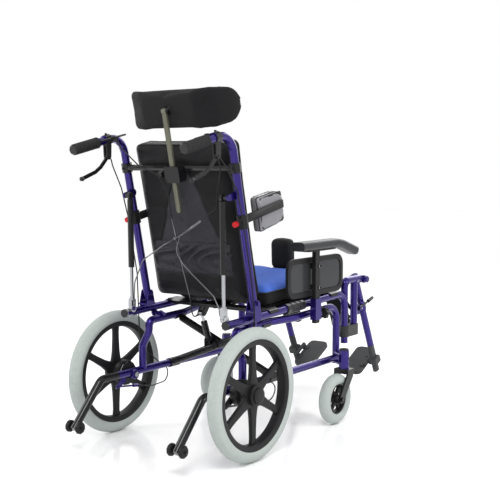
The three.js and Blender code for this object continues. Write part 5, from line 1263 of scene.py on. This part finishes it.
def cane_zones(shader: Shader) -> list[tuple[Value, Tone]]:
    """Return the cane's black lever clamp and grip."""
    shift = Place.shift
    return [
        (shader.inside((0.17, shift + 0.0785, 0.84), (0.25, shift + 0.1045, 1.1)), SOFT_BLACK),
        (shader.inside((0.17, shift + 0.13, 0.84), (0.25, shift + 0.3, 1.1)), SOFT_BLACK),
        (shader.inside((0.17, shift + 0.06, 0.84), (0.25, shift + 0.13, 0.9415)), SOFT_BLACK),
        (shader.inside((0.17, shift + 0.055, 0.93), (0.2035, shift + 0.13, 1.1)), SOFT_BLACK),
        (shader.inside((0.17, shift - 0.05, 0.76), (0.2035, shift + 0.06, 0.80)), SOFT_BLACK),
    ]


def hanger_zones(shader: Shader) -> list[tuple[Value, Tone]]:
    """Return the hanger's black latch block."""
    shift = Place.shift
    return [(shader.inside((0.18, shift - 0.74, 0.25), (0.24, shift - 0.62, 0.3115)), SOFT_BLACK)]


def leg_zones(shader: Shader) -> list[tuple[Value, Tone]]:
    """Return the leg's bright toothed sector and its black calf arm."""
    turn = math.radians(24.1)
    y = shader.y - (Place.shift - 0.765)
    z = shader.z - 0.465
    away = abs(y * -math.cos(turn) + z * math.sin(turn))
    outside = away > 0.0137
    across = abs(shader.x)
    return [
        (outside * (across > 0.1862) * (across < 0.1912), BRIGHT),
        (outside * (across < 0.1755), SOFT_BLACK),
    ]


def armrest_zones(shader: Shader) -> list[tuple[Value, Tone]]:
    """Return the glossy grey panel inside the side guard's black border."""
    shift = Place.shift
    return [(
        shader.inside((0.2215, shift - 0.580, 0.4625), (0.2245, shift - 0.278, 0.5555)),
        Tone((0.034, 0.035, 0.038), 0.18),
    )]


def cable_zones(shader: Shader) -> list[tuple[Value, Tone]]:
    """Return the black outer casings beside the bright recline cable."""
    turn = math.radians(BACK.angle)
    y = shader.y - (Place.shift + BACK.y / 1000)
    z = shader.z - BACK.z / 1000
    behind = y * math.cos(turn) + z * -math.sin(turn)
    up = y * math.sin(turn) + z * math.cos(turn)
    return [((up > 0.27) | (behind < 0.0473), SOFT_BLACK)]


BARE_CABLE = Finish("bare_cable", Tone((0.16, 0.16, 0.17), 0.35, 0.8))

FINISHES: dict[str, tuple[Finish, Zones | None]] = {
    "side_frame": (PAINT, side_frame_zones), "cross_brace": (BLACK_PAINT, None),
    "anti_tip_tube": (BLACK_PAINT, None), "anti_tip_wheels": (BLACK_PLASTIC, None),
    "caster_fork": (BLACK_PAINT, None), "seat_rail": (PAINT, seat_rail_zones),
    "seat_pan": (BLACK_PAINT, None), "tilt_cylinder": (BLACK_PAINT, None), "tilt_rod": (CHROME, None),
    "armrest_frame": (BLACK_PLASTIC, armrest_zones), "armrest_pad": (ARM_SKIN, None),
    "armrest_knob": (BLACK_PLASTIC, None), "legrest_hanger": (PAINT, hanger_zones),
    "elevation_lever": (BLACK_PAINT, None), "leg_tube": (PAINT, leg_zones),
    "leg_extension": (GREY_PLASTIC, None), "footplate": (GREY_PLASTIC, None),
    "back_cane": (PAINT, cane_zones), "back_bar": (BLACK_PAINT, None), "brake_lever": (BLACK_PAINT, None),
    "release_lever": (BLACK_PLASTIC, None), "headrest_stem": (OLIVE_PAINT, None),
    "recline_rod": (CHROME, None), "recline_cylinder": (BLACK_PAINT, None),
    "release_cables": (BARE_CABLE, cable_zones), "brake_cable": (BLACK_PLASTIC, None),
}


def dress_frame() -> dict[str, bpy.types.Material]:
    """Dress every node of the frame that keeps its own shape, and return the materials."""
    made: dict[str, bpy.types.Material] = {}
    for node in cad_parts:
        name = node.split("_", 1)[1] if node.startswith(("left_", "right_")) else node
        if name not in FINISHES:
            continue
        if name not in made:
            finish, zones = FINISHES[name]
            made[name] = finish.make(name, zones)
        dress(node, made[name])
    return made


@dataclass
class Cables:
    """The held cables, with each brake cable cut in two lengths."""

    split: float = 430

    def hang(self, piece: bpy.types.Object, material: bpy.types.Material,
             start: Vector, end: Vector) -> None:
        """Dress a length of cable and bake its place into its mesh.

        Args:
            piece: the length of cable.
            material: its finish.
            start: not used.
            end: not used.
        """
        piece.data.materials.clear()
        piece.data.materials.append(material)
        tuple(start)
        tuple(end)
        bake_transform(piece)

    def build(self, materials: dict[str, bpy.types.Material]) -> None:
        """Make the recline and tilt cables, and both brake cables in two lengths each."""
        fork = copy_of("release_cables", "recline_and_tilt_cables")
        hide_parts("release_cables")
        self.hang(fork, materials["release_cables"], BACK.at(0, 60, -10), BACK.at(0, 60, 150))
        for side in Side:
            node = side.node("brake_cable")
            place, up = Place.at(0, 0, self.split), Vector((0, 0, 1))
            upper = copy_of(node, side.node("brake_cable_upper"), place, -up)
            lower = copy_of(node, side.node("brake_cable_lower"), place, up)
            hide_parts(node)
            skin = materials["brake_cable"]
            self.hang(upper, skin, BACK.at(0, 0, -5), BACK.at(0, 0, 120))
            self.hang(lower, skin, Place.at(0, 0, 240), Place.at(0, 0, self.split - 5))
        log.info("cables hung")


@dataclass
class Studio:
    """The camera, the soft lights and the pale floor."""

    eye: tuple[float, float, float] = (-1922, 2229, 873)
    yaw: float = 36.54
    pitch: float = -4.4
    lens: float = 68.81

    def build(self) -> None:
        """Make the camera, the lights and the floor."""
        yaw, pitch = math.radians(self.yaw), math.radians(self.pitch)
        way = Vector((math.sin(yaw) * math.cos(pitch), -math.cos(yaw) * math.cos(pitch), math.sin(pitch)))
        data = bpy.data.cameras.new("camera")
        data.lens, data.sensor_width = self.lens, 36
        camera = bpy.data.objects.new("camera", data)
        camera.location = Place.at(*self.eye)
        camera.rotation_euler = way.to_track_quat("-Z", "Y").to_euler()
        bpy.context.scene.collection.objects.link(camera)
        bpy.context.scene.camera = camera
        self.light("key", (-1.4, 2.2, 3.0), 1.1, 60)
        self.light("fill", (2.8, 1.4, 1.8), 1.2, 30)
        self.light("front", (0.4, -3.0, 2.2), 2.4, 40)
        self.light("rim", (-3.0, -0.8, 1.6), 1.0, 22)
        world = bpy.data.worlds.new("white")
        bpy.context.scene.world = world
        world.use_nodes = True
        background = world.node_tree.nodes["Background"]
        background.inputs[0].default_value = (1, 1, 1, 1)
        background.inputs[1].default_value = 1.0
        bpy.context.scene.view_settings.view_transform = "Standard"
        self.floor()

    def light(self, name: str, place: Point, size: float, power: float) -> None:
        """Make one soft light that faces the chair."""
        data = bpy.data.lights.new(name, "AREA")
        data.size, data.energy = size, power
        lamp = bpy.data.objects.new(name, data)
        lamp.location = place
        lamp.rotation_euler = (Vector((0, 0.1, 0.5)) - Vector(place)).to_track_quat("-Z", "Y").to_euler()
        bpy.context.scene.collection.objects.link(lamp)

    def floor(self) -> None:
        """Make the pale floor."""
        shape = bmesh.new()
        bmesh.ops.create_grid(shape, x_segments=1, y_segments=1, size=14)
        mesh = bpy.data.meshes.new("floor")
        shape.to_mesh(mesh)
        shape.free()
        shader = Shader("floor")
        shader.feed("Base Color", (0.97, 0.97, 0.975))
        shader.feed("Roughness", 0.12)
        floor = keep(mesh, "floor", shader.material)


def main() -> None:
    """Build the whole chair and report its pieces."""
    logging.basicConfig(level=logging.INFO, format="%(message)s")
    Studio().build()
    materials = dress_frame()
    black_paint = BLACK_PAINT.make()
    black_plastic = BLACK_PLASTIC.make()
    rear = Rubber("rear_tyre_rubber", (Place.shift, 0.2), 0.2, 230).make()
    caster = Rubber("caster_tyre_rubber", (Place.shift - 0.504, 0.085), 0.085, 0).make()
    bright = CHROME.make()
    tubing = Tubing()
    tubing.build(PAINT.make(), black_paint)
    Wheels().build(rear, caster, black_plastic, black_plastic, bright)
    Grips().build(tubing, GRIP_RUBBER.make())
    Screws().build(bright)
    Cables().build(materials)
    Upholstery(
        black=Cloth("padding_cloth", (0.009, 0.009, 0.01)).make(),
        seat_top=Cloth("seat_cloth", (0.007, 0.007, 0.008)).make(seat_zones),
        # the nylon cloth has a painted reflection on its rear panel and pocket
        gloss=Cloth("nylon_cloth", (0.006, 0.006, 0.007), roughness=0.3, sheen=0.0).make(panel_reflection_zones),
        hard=black_plastic,
        screw=BLACK_PLASTIC.make("trunk_arm", screw_zones),
        grey=Finish("trunk_skin", Tone((0.2, 0.2, 0.215), 0.2), coat=0.5, grain=0.0001, grain_scale=120.0).make(),
    ).build()
    log.info("%d finishes on the frame", len(materials))


def panel_reflection_zones(shader: Shader) -> list[tuple[Value, Tone]]:
    """Return the painted reflection on the middle panel and gathered pocket of the back cushion's rear: both are
    drawn lighter than the nylon.
    """
    turn = math.radians(BACK.angle)
    y = shader.y - (Place.shift + BACK.y / 1000)
    z = shader.z - BACK.z / 1000
    behind = y * math.cos(turn) + z * -math.sin(turn) > -0.03
    up = y * math.sin(turn) + z * math.cos(turn)
    # painted reflection: a lighter tone that stands in for light reflected by the glossy nylon
    painted_reflection = Tone((0.026, 0.026, 0.031), 0.27)
    panel = behind * (up > 0.18) * (up < 0.42) * (abs(shader.x) < up * -0.42 + 0.1984)
    pocket = behind * (up > 0.08) * (up < 0.18) * (abs(shader.x) < 0.15)
    return [(panel, painted_reflection), (pocket, painted_reflection)]


def screw_zones(shader: Shader) -> list[tuple[Value, Tone]]:
    """Return the red head of the trunk pad's hand screw."""
    turn = math.radians(BACK.angle)
    y = shader.y - (Place.shift + BACK.y / 1000)
    z = shader.z - BACK.z / 1000
    return [(y * math.cos(turn) + z * -math.sin(turn) > 0.0285, RED)]


def seat_zones(shader: Shader) -> list[tuple[Value, Tone]]:
    """Return the blue panel on top of the black seat cushion."""
    rise = shader.z + (shader.y - Place.shift) * 0.039
    floor = (386 + 20.4 - 0.039 * 108 + 62) / 1000
    return [((rise > floor) * (shader.y > Place.shift - 0.60), Tone((0.045, 0.115, 0.47), 0.75))]


if __name__ == "__main__":
    main()
